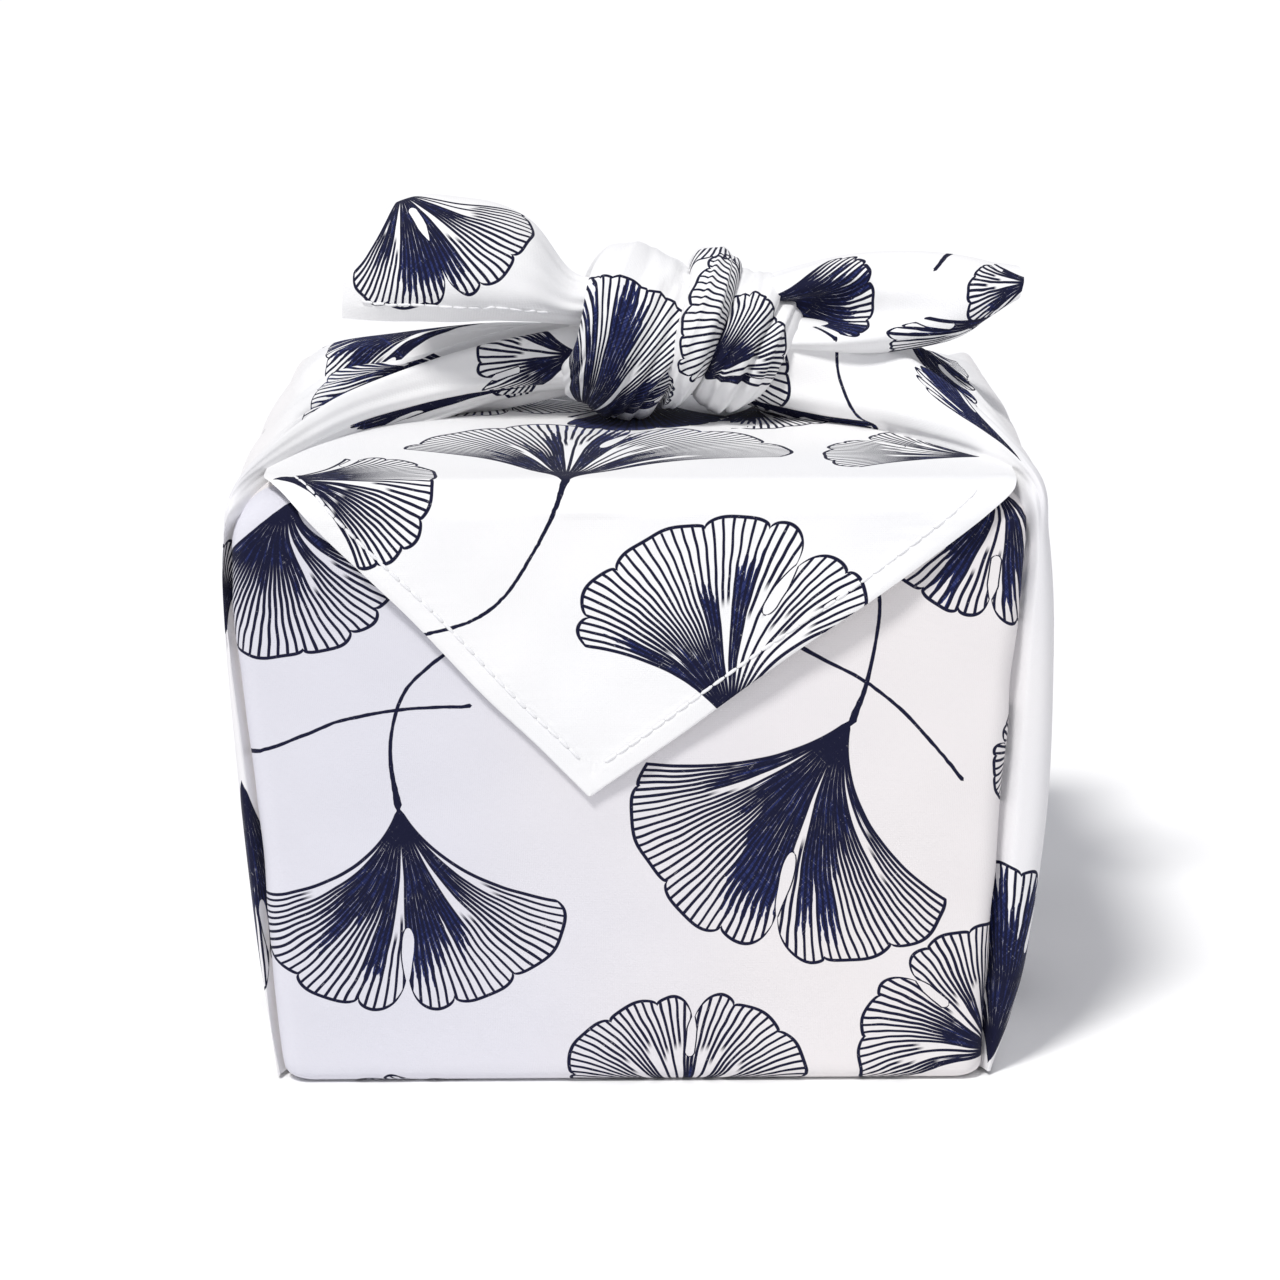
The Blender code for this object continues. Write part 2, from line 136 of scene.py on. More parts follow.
# ---------------------------------------------------------------- leaf layout
# Each leaf is drawn from its base: place on the flat cloth in mm, way it points
# (degrees from up, clockwise), radius in mm, spread (degrees each side), curl,
# where its notch is (-1 to 1), how dark, and a seed.
FRONT_LEAVES = (  # x, z from the front panel's middle and foot
    (-53.6, 70.5, 178, 56, 66, -0.06, -0.02, 1.05, 1),
    (53.2, 91.5, 210, 65, 60, 0.14, -0.12, 1.12, 2),
    (-77.5, 148.5, 177, 42, 60, 0.05, 0.9, 1.0, 3),
    (14.0, -17.5, 2, 42, 70, 0.0, 0.06, 0.75, 4),
    (97, 4, -48, 41, 60, 0.1, 0.1, 0.6, 5),
    (87.5, 154, 199, 41, 54, 0.1, -0.1, 1.25, 6),
    (105, 81, 270, 18.5, 60, 0.0, 0.3, 0.4, 7),
    (-60, -38, 0, 40.5, 60, 0.1, 0.2, 0.6, 8),
)
FRONT_STEMS = (  # up to six places x, z from the leaf outwards
    (-53.8, 71.5, -54.4, 80, -53.6, 88, -50.5, 97, -45, 103.8, -36, 110.5),
    (-96, 83, -83, 85.6, -72, 89.6, -63.5, 92.6, -50, 94.6, -34.2, 95.2),
    (53.8, 92.2, 56.2, 99.2, 57.6, 109, 58.1, 118.8, 56.6, 125.6, 53, 132),
    (34, 113, 45.9, 106.2, 55, 101.4, 63.9, 94.7, 71.6, 86.7, 80.4, 76.6),
    (-61, 150, -60, 156, -57, 160, -54, 166, -50, 172, -44, 176),
)
FLAP_LEAVES = (  # x and way up from the hanging corner
    (-16.8, 76.5, 4, 74, 60, -0.05, 0.12, 1.15, 11),
    (22.8, 17.0, -9, 52.5, 62, -0.10, 0.48, 1.05, 12),
    (-85.5, 79, 83, 40, 62, 0.0, -0.9, 0.7, 13),
    (85, 104, -65, 42, 50, 0.0, 0.3, 0.7, 14),
    # painted shadow: a leaf inked nearly solid under the knot stands for the near-black shade there, beside the real
    # gap under the lifted knot
    (1, 186, 178, 46, 40, 0.0, 0.9, 2.8, 15),
    (31, 173, 174, 34, 46, 0.0, 0.9, 1.2, 18),
    (-40, 205, 170, 52, 62, 0.1, 0.1, 0.9, 16),
    (50, 215, 200, 50, 60, -0.1, -0.1, 1.0, 17),
)
FLAP_STEMS = (
    (-16.8, 77, -19, 69.6, -24.5, 59, -31.4, 48.6, -39.3, 43, -50, 40),
)
BACK_LEAVES = (  # along the back from its middle, and z
    (-44, 112, 175, 55, 60, 0.1, 0.1, 1.0, 21),
    (42, 66, 200, 58, 60, -0.1, -0.1, 0.95, 22),
    (-36, -14, 6, 44, 62, 0.1, 0.1, 0.8, 23),
    (92, -12, -14, 36, 60, 0.1, 0.2, 0.9, 24),
    (66, 128, 190, 34, 60, 0.1, 0.2, 0.9, 25),
    (-88, 34, 82, 28, 58, 0.1, 0.2, 0.8, 26),
)
BACK_STEMS = (
    (-44, 113, -45, 120, -43, 128, -38, 136, -32, 141, -26, 145),
    (42.5, 67, 45, 75, 46, 84, 44, 93, 38, 102, 30, 108),
    (66, 129, 68, 133, 70, 136, 74, 139, 78, 141, 84, 142),
)
SIDE_LEAVES = (  # from the front crease towards the back, and way up the side
    (3, 2, 7, 54, 56, 0.1, 0.3, 1.3, 31),
    (46, 112, -86, 34, 60, 0.1, 0.2, 0.8, 32),
    (92, 96, 178, 56, 60, 0.1, 0.1, 1.0, 33),
    (144, 50, 196, 40, 60, 0.1, 0.1, 0.9, 34),
    (66, -10, 14, 42, 60, 0.1, -0.2, 0.8, 35),
    (150, 128, 230, 40, 60, 0.1, 0.1, 0.9, 36),
)
SIDE_STEMS = (
    (92, 97, 93, 104, 91, 113, 86, 121, 79, 127, 70, 131),
    (46, 112, 55, 116, 63, 122, 70, 124, 80, 124, 88, 120),
    (144, 51, 147, 58, 148, 66, 145, 74, 140, 80, 132, 84),
)
SIDE_LEAVES_L = (
    (5, 76, 178, 56, 50, 0.1, 0.3, 1.3, 41),
    (4, 112, 0, 24, 40, 0.1, 0.3, 0.6, 42),
    (84, 110, 170, 56, 60, 0.1, 0.1, 1.0, 43),
    (128, 40, 200, 46, 60, 0.1, 0.1, 0.9, 44),
    (56, -10, 12, 44, 60, 0.1, -0.2, 0.8, 45),
    (150, 132, 230, 40, 60, 0.1, 0.1, 0.9, 46),
)
SIDE_STEMS_L = (
    (84, 111, 83, 119, 85, 128, 91, 135, 99, 140, 108, 142),
    (128, 41, 131, 50, 131, 58, 127, 66, 120, 71, 112, 73),
)


# ---------------------------------------------------------------- shape tools
def spline(rows, count, closed=False, at=None):
    p = np.asarray(rows, float)
    n = len(p)
    if closed:
        t = np.arange(count) * n / count if at is None else np.asarray(at, float)
        i = np.floor(t).astype(int)
        a, b, c, d = (p[(i + k) % n] for k in (-1, 0, 1, 2))
    else:
        t = np.linspace(0, n - 1, count) if at is None else np.asarray(at, float)
        i = np.minimum(np.floor(t).astype(int), n - 2)
        q = np.concatenate([[2 * p[0] - p[1]], p, [2 * p[-1] - p[-2]]])
        a, b, c, d = (q[i + k] for k in (0, 1, 2, 3))
    f = (t - i).reshape((-1,) + (1,) * (p.ndim - 1))
    return 0.5 * (2 * b + (c - a) * f + (2 * a - 5 * b + 4 * c - d) * f**2 + (3 * b - a - 3 * c + d) * f**3)


def even(line, count, closed=False):
    """Points of a curve put at even steps along it."""
    p = np.asarray(line, float)
    if closed:
        p = np.concatenate([p, p[:1]])
    s = np.concatenate([[0], np.cumsum(np.linalg.norm(np.diff(p, axis=0), axis=1))])
    t = np.linspace(0, s[-1], count + 1 if closed else count)
    out = np.stack([np.interp(t, s, p[:, k]) for k in range(p.shape[1])], 1)
    return out[:-1] if closed else out


def look(table, z, column):
    t = np.array([[r[0], r[column]] for r in table])
    return float(np.interp(z, t[:, 0], t[:, 1]))


def smooth(a, b, x):
    t = np.clip((x - a) / (b - a), 0, 1)
    return t * t * (3 - 2 * t)


def waves(p, seed, size):
    """Smooth unevenness between about -1 and 1, from the place p in mm."""
    r = np.random.RandomState(seed)
    out = np.zeros(p.shape[:-1])
    for k in range(7):
        d = r.normal(size=p.shape[-1])
        d /= np.linalg.norm(d)
        w = 2 * np.pi / (size * r.uniform(0.6, 1.7))
        out += np.sin((p @ d) * w + r.uniform(0, 6.28))
    return out / 3.2


def normals(g, closed_u=False, closed_v=False):
    def diff(a, axis, closed):
        if closed:
            return np.roll(a, -1, axis) - np.roll(a, 1, axis)
        return np.gradient(a, axis=axis)
    n = np.cross(diff(g, 0, closed_u), diff(g, 1, closed_v))
    return n / (np.linalg.norm(n, axis=2, keepdims=True) + 1e-9)


def arc(g, axis):
    d = np.linalg.norm(np.diff(g, axis=axis), axis=2)
    pad = [(0, 0), (0, 0)]
    pad[axis] = (1, 0)
    return np.cumsum(np.pad(d, pad), axis=axis)


SHEETS = []


class Cloth:
    """One stretch of the cloth: grids with each corner's place on the flat cloth."""

    def __init__(self, name):
        self.name, self.n = name, 0
        self.v, self.f, self.flat, self.leaf, self.stem, self.slot, self.tone = [], [], [], [], [], [], []
        SHEETS.append(self)

    def put(self, verts, faces, corner, leaves, stems, tone, rev, slot):
        self.v.append(np.asarray(verts, float).reshape(-1, 3))
        self.f.append(faces + self.n)
        self.n += len(self.v[-1])
        self.flat.append(corner)
        self.leaf.append(leaf_marks(corner, leaves))
        self.stem.append(stem_marks(corner, stems))
        self.slot.append(np.full(len(faces), slot))
        # first channel: 1 where the cloth keeps its own white, down to 0 where it takes the painted shade colour;
        # second: the reverse side
        t = np.zeros(corner.shape[:2] + (3,))
        t[..., 0], t[..., 1] = tone(corner) if callable(tone) else tone, rev
        self.tone.append(t)

    def add(self, verts, faces, flat, leaves=(), stems=(), tone=1.0, rev=0.0, slot=0):
        faces = np.asarray(faces, int)
        corner = np.asarray(flat, float).reshape(-1, 2)[faces]
        self.put(verts, faces, corner, leaves, stems, tone, rev, slot)

    def grid(self, g, flat, leaves=(), stems=(), closed_v=False, tone=1.0, rev=0.0, flip=False):
        """A grid of points; flat has one more column than g where g closes on itself."""
        m, n = g.shape[:2]
        i, j = np.meshgrid(np.arange(m - 1), np.arange(n if closed_v else n - 1), indexing="ij")
        q = (j + 1) % n
        f = np.stack([i * n + j, (i + 1) * n + j, (i + 1) * n + q, i * n + q], -1).reshape(-1, 4)
        flat = np.asarray(flat, float)
        q = j + 1
        corner = np.stack([flat[i, j], flat[i + 1, j], flat[i + 1, q], flat[i, q]], 2).reshape(-1, 4, 2)
        if flip:
            f, corner = f[:, ::-1], corner[:, ::-1]
        self.put(g, f, corner, leaves, stems, tone, rev, 0)


def leaf_marks(corner, leaves):
    """For each corner, its place in the frames of the two leaves nearest its face:
    x, y and seed; radius, spread and darkness; notch, curl and where the notch starts."""
    n = len(corner)
    out = np.tile(np.array((0.0, -40.0, 0.0, 50.0, 1.0, 1.0, 0.0, 0.0, 0.0)), (n, 4, 2, 1))
    used = np.zeros(n, int)
    mid = corner.mean(1)
    for bx, by, turn, r, spread, curl, notch, dark, seed, *start in leaves:
        a = np.radians(turn)
        d = np.array([np.sin(a), np.cos(a)])
        e = np.array([np.cos(a), -np.sin(a)])
        q = mid - (bx, by)
        x, y = q @ e / r, q @ d / r
        hit = (np.hypot(x, y) < 1.12) & (np.abs(np.arctan2(x, y)) < np.radians(spread + 34)) & (used < 2)
        hit |= (np.hypot(x, y) * r < 3.5) & (used < 2)
        if not hit.any():
            continue
        k = used[hit]
        where = np.nonzero(hit)[0]
        qc = corner[hit] - (bx, by)
        vals = np.zeros(qc.shape[:2] + (9,))
        vals[..., 0], vals[..., 1], vals[..., 2] = qc @ e / r, qc @ d / r, seed
        vals[..., 3], vals[..., 4], vals[..., 5] = r, np.radians(spread), dark
        vals[..., 6], vals[..., 7], vals[..., 8] = notch, curl, start[0] if start else 0.55
        out[where, :, k] = vals
        used[hit] += 1
    return out


def stem_marks(corner, stems):
    """For each corner, the distance from the two nearest stems, the way along, and the half width."""
    n = len(corner)
    out = np.tile(np.array((50.0, 0.0, 0.1)), (n, 4, 2, 1))
    used = np.zeros(n, int)
    mid = corner.mean(1)
    for row in stems:
        line = even(spline(np.array(row, float).reshape(-1, 2), 90), 120)
        tan = np.gradient(line, axis=0)
        tan /= np.linalg.norm(tan, axis=1, keepdims=True)
        lo, hi = line.min(0) - 6, line.max(0) + 6
        near = np.nonzero(((mid > lo) & (mid < hi)).all(1) & (used < 2))[0]
        if not len(near):
            continue
        d = np.linalg.norm(mid[near][:, None] - line[None], axis=2).min(1)
        near = near[d < 5.0]
        if not len(near):
            continue
        c = corner[near].reshape(-1, 2)
        ds = np.linalg.norm(np.diff(line, axis=0), axis=1).sum() / 119.0
        far = np.arange(1, 13)[:, None] * 0.6
        line = np.concatenate([line[0] - tan[0] * far[::-1], line, line[-1] + tan[-1] * far])
        tan = np.concatenate([np.repeat(tan[:1], 12, 0), tan, np.repeat(tan[-1:], 12, 0)])
        diff = c[:, None] - line[None]
        dist = np.linalg.norm(diff, axis=2)
        k = dist.argmin(1)
        dd = dist[np.arange(len(c)), k]
        side = diff[np.arange(len(c)), k, 0] * tan[k, 1] - diff[np.arange(len(c)), k, 1] * tan[k, 0]
        s = np.where(k < 12, (k - 12) * 0.6, np.where(k > 131, 119 * ds + (k - 131) * 0.6, (k - 12) * ds))
        ahead, after = np.maximum(-s - 1.8, 0), np.maximum(s - 119 * ds, 0)
        w = 0.42 + 0.55 * np.exp(-np.maximum(s, 0) / 5.0) + 0.12 * np.exp(-np.abs(119 * ds - s) / 2.5) - 1.1 * (ahead + after)
        vals = np.stack([np.sign(side) * dd, s, w], -1).reshape(-1, 4, 3)
        out[near, :, used[near]] = vals
        used[near] += 1
    return out


# ---------------------------------------------------------------- wrapped box
def box_ring(z, inset, front, side, corner):
    """One level of the box part: points from the right front corner round to the right."""
    l, r = look(BODY, z, 1), look(BODY, z, 3)
    f = FRONT - inset
    rc = 5.0
    cs = [(r - rc - inset, -f + rc), (r - rc - inset, f - rc), (l + rc + inset, f - rc), (l + rc + inset, -f + rc)]
    pts = []
    for k, (cx, cy) in enumerate(cs):
        start = (-90, 0, 90, 180)[k]
        t = np.radians(np.linspace(start, start + 90, corner, endpoint=False))
        pts += [(cx + rc * np.cos(a), cy + rc * np.sin(a), z) for a in t]
        e = np.radians(start + 90)
        p0 = np.array([cx + rc * np.cos(e), cy + rc * np.sin(e)])
        nx, ny = cs[(k + 1) % 4]
        p1 = np.array([nx + rc * np.cos(e), ny + rc * np.sin(e)])
        m = side if k in (0, 2) else front
        for s in np.linspace(0, 1, m, endpoint=False):
            p = p0 + (p1 - p0) * s
            if k in (1, 3):
                p[1] += (1 if k == 1 else -1) * 1.2 * np.sin(np.pi * z / TOP) * np.sin(np.pi * s)
            pts.append((p[0], p[1], z))
    return pts


def box_part():
    front, side, corner = 84, 14, 7
    levels = [(0, 3.2), (0.35, 2.0), (0.9, 1.2), (1.8, 0.4), (3, 0.0)]
    levels += [(z, 0.0) for z in np.linspace(3, 138, 62)[1:]]
    levels += [(138 + 9 * np.sin(a), 7.2 * (1 - np.cos(a))) for a in np.radians([15, 30, 45, 60, 75, 90])]
    g = np.array([box_ring(min(z, TOP), inset, front, side, corner) for z, inset in levels])
    # soft unevenness of the cloth over the box
    n = normals(g, closed_v=True)
    out = np.sign((n * (g - g.mean((0, 1)))).sum())
    soft = smooth(2, 22, g[..., 2]) * smooth(146, 120, g[..., 2])
    h = 0.55 * waves(g * (1.0, 0.2, 0.55), 5, 62) + 0.22 * waves(g * (0.9, 0.2, 1.1), 8, 24)
    g = g + out * n * (h * soft)[..., None]
    cnt = g.shape[1]
    m = len(levels)
    # flat places: x over the front and z up; round the corner x goes on
    ring = g[30]
    start = corner * 3 + side + front + side      # first front point, at the left
    order = [(start + k) % cnt for k in range(cnt)]
    g = g[:, order]
    ring = g[30]
    step = np.linalg.norm(np.diff(np.concatenate([ring, ring[:1]]), axis=0), axis=1)
    along = np.concatenate([[0], np.cumsum(step)])
    left = ring[0, 0]
    along = along + left
    flat = np.zeros((m, cnt + 1, 2))
    flat[..., 0] = along
    zz = arc(g, 0)
    zz = np.concatenate([zz, zz[:, :1]], 1)
    flat[..., 1] = zz - 3.0
    # the back's middle along the ring
    k = np.argmax(g[30, :, 1] * 1000 - np.abs(g[30, :, 0]))
    back_mid = along[k]
    leaves = list(FRONT_LEAVES) + [(r[0] + back_mid,) + tuple(r[1:]) for r in BACK_LEAVES]
    stems = list(FRONT_STEMS) + [[v + (back_mid if q % 2 == 0 else 0) for q, v in enumerate(r)] for r in BACK_STEMS]
    # painted shade: the box's front, sides and back all take the painted shade colour in full
    cloth.grid(g, flat, leaves, stems, closed_v=True, tone=0.0)
    # underside, and the turned-in margin on top under the flap, as rings drawn in
    for lev, zto, rows, far in ((0, 0.0, 24, 0.985), (-1, TOP + 0.4, 8, 0.34)):
        rim = g[lev]
        mid = np.array([rim[:, 0].mean(), 0.0, zto])
        rings = [rim * (1 - s) + mid * s for s in np.linspace(0, far, rows)]
        gg = np.array(rings)
        gg[1:, :, 2] = zto if lev == 0 else np.linspace(rim[0, 2], zto, rows)[1:, None]
        gg = np.concatenate([gg, gg[:, :1]], 1)
        cloth.grid(gg, gg[..., :2] + (0, 500), (), flip=True)
    return back_mid, g[30, k, 0], g[30, k, 2]


cloth = Cloth("cloth_box_round")
BACK_MID, BACK_X, BACK_Z = box_part()


def along_back(x, z):
    """How far along the flat cloth a place on the back lies."""
    z = np.minimum(z, 138.0)
    l, r = (np.interp(z, [q[0] for q in BODY], [q[c] for q in BODY]) for c in (1, 3))
    l0, r0 = look(BODY, BACK_Z, 1), look(BODY, BACK_Z, 3)
    share = (r - 5.0 - x) / (r - l - 10.0)
    return BACK_MID + BACK_X - (r0 - 5.0 - (r0 - l0 - 10.0) * share)


# ---------------------------------------------------------------- side panels and straps
def fan(table, left):
    edge, lip = (1, 2) if left else (3, 4)
    sign = -1 if left else 1
    grid = []
    for (name, share, step, y), row in zip(SIDE, table):
        line = []
        for z in (1.0, 14.0, 32.0, 70.0, 110.0, 134.0):
            a, b = look(BODY, z, edge), look(BODY, z, lip)
            b = a + sign * max(abs(b - a), LEAST_LIP)
            tame = min(1.0, abs(b - a) / 6.0)
            x = a + sign * step if share < 0 else a + (b - a) * share + sign * step
            yy = y if abs(y) < 80 else y - np.sign(y) * 0.8 * (1 - tame)
            line.append((x, yy, max(z, 1.0)))
        s = row[1:]
        line += [tuple(s[3 * k:3 * k + 3]) for k in range(5)]
        grid.append(line)
    return np.array(grid, float)


def strap(table, left, leaves, stems):
    rails = fan(table, left)                      # folds by stations
    at = np.concatenate([np.linspace(0, 1, 8, endpoint=False), np.linspace(1, 3, 26, endpoint=False),
                         np.linspace(3, 8, 116, endpoint=False), np.linspace(8, 10, 22, endpoint=False),
                         np.linspace(10, 12, 14, endpoint=False)])
    folds = spline(rails, 0, closed=True, at=at)
    ut = np.concatenate([np.linspace(0, 6, 66, endpoint=False), np.linspace(6, 10, 78)])
    g = spline(folds.transpose(1, 0, 2), 0, at=ut)
    m, n = g.shape[:2]
    nn = normals(g, closed_v=True)
    flip = (nn[:, n // 2, 0] * (-1 if left else 1))[:40].mean() < 0
    if flip:
        nn = -nn
    u = ut[:, None] / 10
    v = at[None, :] / 12
    # creases where one fold lies over the next, deeper towards the knot
    run = smooth(0.52, 0.74, u)
    deep = 0 * u * v
    for rail, depth, width in CREASES_L if left else CREASES_R:
        line = rail + 0.25 * np.sin(u * 9 + rail)
        off = at[None, :] - line
        past = 0.5 + 0.5 * np.tanh(off / 0.045)
        deep = deep - (1 - past) * 0.3 * depth * np.exp(np.minimum(off, 0) / 0.55) + past * depth * np.exp(-np.maximum(off, 0) / width)
    # fine gathers running towards the knot, and soft puckers on the side panel
    ph = 2.2 * np.sin(v * 9 + 1.0) + 1.3 * np.sin(u * 7 + v * 3)
    gather = np.sin(2 * np.pi * 13 * v + ph) * 0.42 + np.sin(2 * np.pi * 29 * v + 1.7 * ph) * 0.14
    panel = (1 - run) * 0.5 * waves(g * (0.3, 0.9, 0.45), 11 if left else 12, 46)
    g = g + nn * (run * gather * (0.2 + 0.9 * u) - run * deep + panel)[..., None]
    g[..., 2] = np.maximum(g[..., 2], 0.4)
    # flat places: from the front crease, and up from the foot
    k0 = 8
    gg = np.concatenate([g, g[:, :1]], 1)
    fv = arc(gg, 1)
    fv = fv - fv[:, k0:k0 + 1]
    base = arc(g, 0)[:, 30:31]
    flat = np.stack([fv, np.repeat(base, n + 1, 1)], -1)
    # painted shade: the side panels keep 40 % of it, fading out up to the strap (0.6 to 1)
    cloth.grid(g, flat, leaves, stems, closed_v=True, flip=not flip, tone=lambda c: 0.6 + 0.4 * smooth(146, 178, c[..., 1]))


CREASES_R = (  # rail, depth, reach in rails
    (3.8, 5.0, 0.60),
    (5.2, 2.6, 0.45),
    (6.3, 4.2, 0.55),
    (7.4, 2.4, 0.40),
)
CREASES_L = (
    (3.8, 5.4, 0.55),
    (4.9, 3.0, 0.40),
    (6.0, 4.6, 0.55),
    (7.3, 2.6, 0.40),
)
STRAP_R = SIDE_LEAVES + (  # the strap starts about 150 up and runs to about 270
    (9, 163, 22, 58, 15, 0.0, 0.9, 2.6, 39),
    # painted shade: a narrow, nearly solid dark wedge along the strap's lower edge, where it lies over the flap
    (0.8, 272, 181, 46, 5, 0.0, 0.9, 3.0, 41),
    (70, 228, 186, 50, 30, 0.0, 0.2, 1.4, 37),
    (14, 277, 180, 28, 66, 0.0, 0.9, 0.5, 38),
    (118, 208, 204, 36, 50, 0.0, 0.2, 1.0, 40),
)
STRAP_R_STEMS = SIDE_STEMS + ((37, 235, 29, 237.5, 21, 238.5, 14, 237, 7, 233, 1, 227),)
STRAP_L = SIDE_LEAVES_L + (
    (13, 276, 182, 29, 58, 0.0, 0.2, 0.7, 47),
    (32, 252, 168, 70, 28, 0.0, 0.9, 1.7, 48),
    (62, 264, 168, 76, 19, 0.0, 0.9, 1.9, 49),
    # painted shade: a narrow, nearly solid dark wedge along the strap's lower edge, where it lies over the flap
    (0.8, 264, 181, 54, 4, 0.0, 0.9, 3.0, 51),
    (122, 226, 190, 42, 40, 0.0, 0.2, 1.0, 50),
)
cloth = Cloth("cloth_right_side")
strap(FAN_R, False, STRAP_R, STRAP_R_STEMS)
cloth = Cloth("cloth_left_side")
strap(FAN_L, True, STRAP_L, SIDE_STEMS_L)


# ---------------------------------------------------------------- stitches
def stitch_line(points, out, length=3.4, gap=0.16, radius=0.35):
    """White thread along a line of points that lie on the cloth."""
    p = np.asarray(points, float)
    s = np.concatenate([[0], np.cumsum(np.linalg.norm(np.diff(p, axis=0), axis=1))])
    at = 0.0
    k = 6
    while at + length < s[-1]:
        t = np.linspace(at, at + length, 7)
        mid = np.stack([np.interp(t, s, p[:, c]) for c in range(3)], 1)
        o = np.stack([np.interp(t, s, out[:, c]) for c in range(3)], 1)
        o /= np.linalg.norm(o, axis=1, keepdims=True)
        w = np.array([0.5, 0.92, 1.0, 1.0, 1.0, 0.92, 0.5])
        mid = mid + o * (w * 0.16 - 0.06)[:, None]
        tan = np.gradient(mid, axis=0)
        tan /= np.linalg.norm(tan, axis=1, keepdims=True)
        b = np.cross(tan, o)
        ang = np.arange(k) * 2 * np.pi / k
        g = mid[:, None] + (b[:, None] * np.cos(ang)[None, :, None] * 1.25 + o[:, None] * np.sin(ang)[None, :, None]) * (radius * w)[:, None, None]
        i, j = np.meshgrid(np.arange(6), np.arange(k), indexing="ij")
        q = (j + 1) % k
        f = np.stack([i * k + j, (i + 1) * k + j, (i + 1) * k + q, i * k + q], -1).reshape(-1, 4)
        cloth.add(g, f, g.reshape(-1, 3)[:, :2], slot=1)
        at += length + gap


# ---------------------------------------------------------------- flap
R_FOLD = FLAP_OUT - FRONT + 6.0
HANG = FLAP_TOP - R_FOLD - FLAP_TIP[1]


def flap_point(x, s):
    side = smooth(-20, 70, x)
    gap = 1.0 + 4.6 * np.clip((x + 20) / 90, 0, 1) * np.clip(s / 30, 0, 1)
    gap = gap * np.clip((HANG + 6 - s) / 42, 0, 1)
    gap = gap + 0.5 * np.sin(s * 0.11 + x * 0.05) * smooth(70, 40, s) * side
    a = np.clip((s - HANG) / R_FOLD, 0, np.pi / 2)
    y = np.where(s < HANG, -FLAP_OUT, -(FLAP_OUT - R_FOLD) - R_FOLD * np.cos(a)) - gap
    z = np.where(s < HANG, FLAP_TIP[1] + s, FLAP_TOP - R_FOLD + R_FOLD * np.sin(a))
    over = np.maximum(s - HANG - R_FOLD * np.pi / 2, 0)
    yt = -(FLAP_OUT - R_FOLD) + over
    y = np.where(over > 0, yt, y)
    z = z - np.where(over > 0, 1.4 * np.clip((yt - 60) / 22, 0, 1) ** 2, 0)
    # soft unevenness on top
    p = np.stack([x, s], -1)
    z = z + np.where(over > 0, 1, 0) * smooth(0, 16, over) * (0.35 * waves(p, 21, 44) - 0.5)
    y = y - np.where(s < HANG, 0.25 * waves(p, 22, 30), 0)
    return np.stack([x + 0 * s, y, z], -1)


def edge_left(s):
    wob = 0.5 * np.sin(s * 0.16 + 0.8) * smooth(4, 20, s)
    x = FLAP_TIP[0] - 0.5 - 0.964 * s + wob + 88.5
    return -88.5 + 0.5 * (x + np.sqrt(x * x + 8.0))


def edge_right(s):
    wob = 0.6 * np.sin(s * 0.13 + 0.4) * smooth(4, 20, s)
    x = 90.0 - (FLAP_TIP[0] + 0.5 + 1.367 * s + wob)
    return 90.0 - 0.5 * (x + np.sqrt(x * x + 8.0))


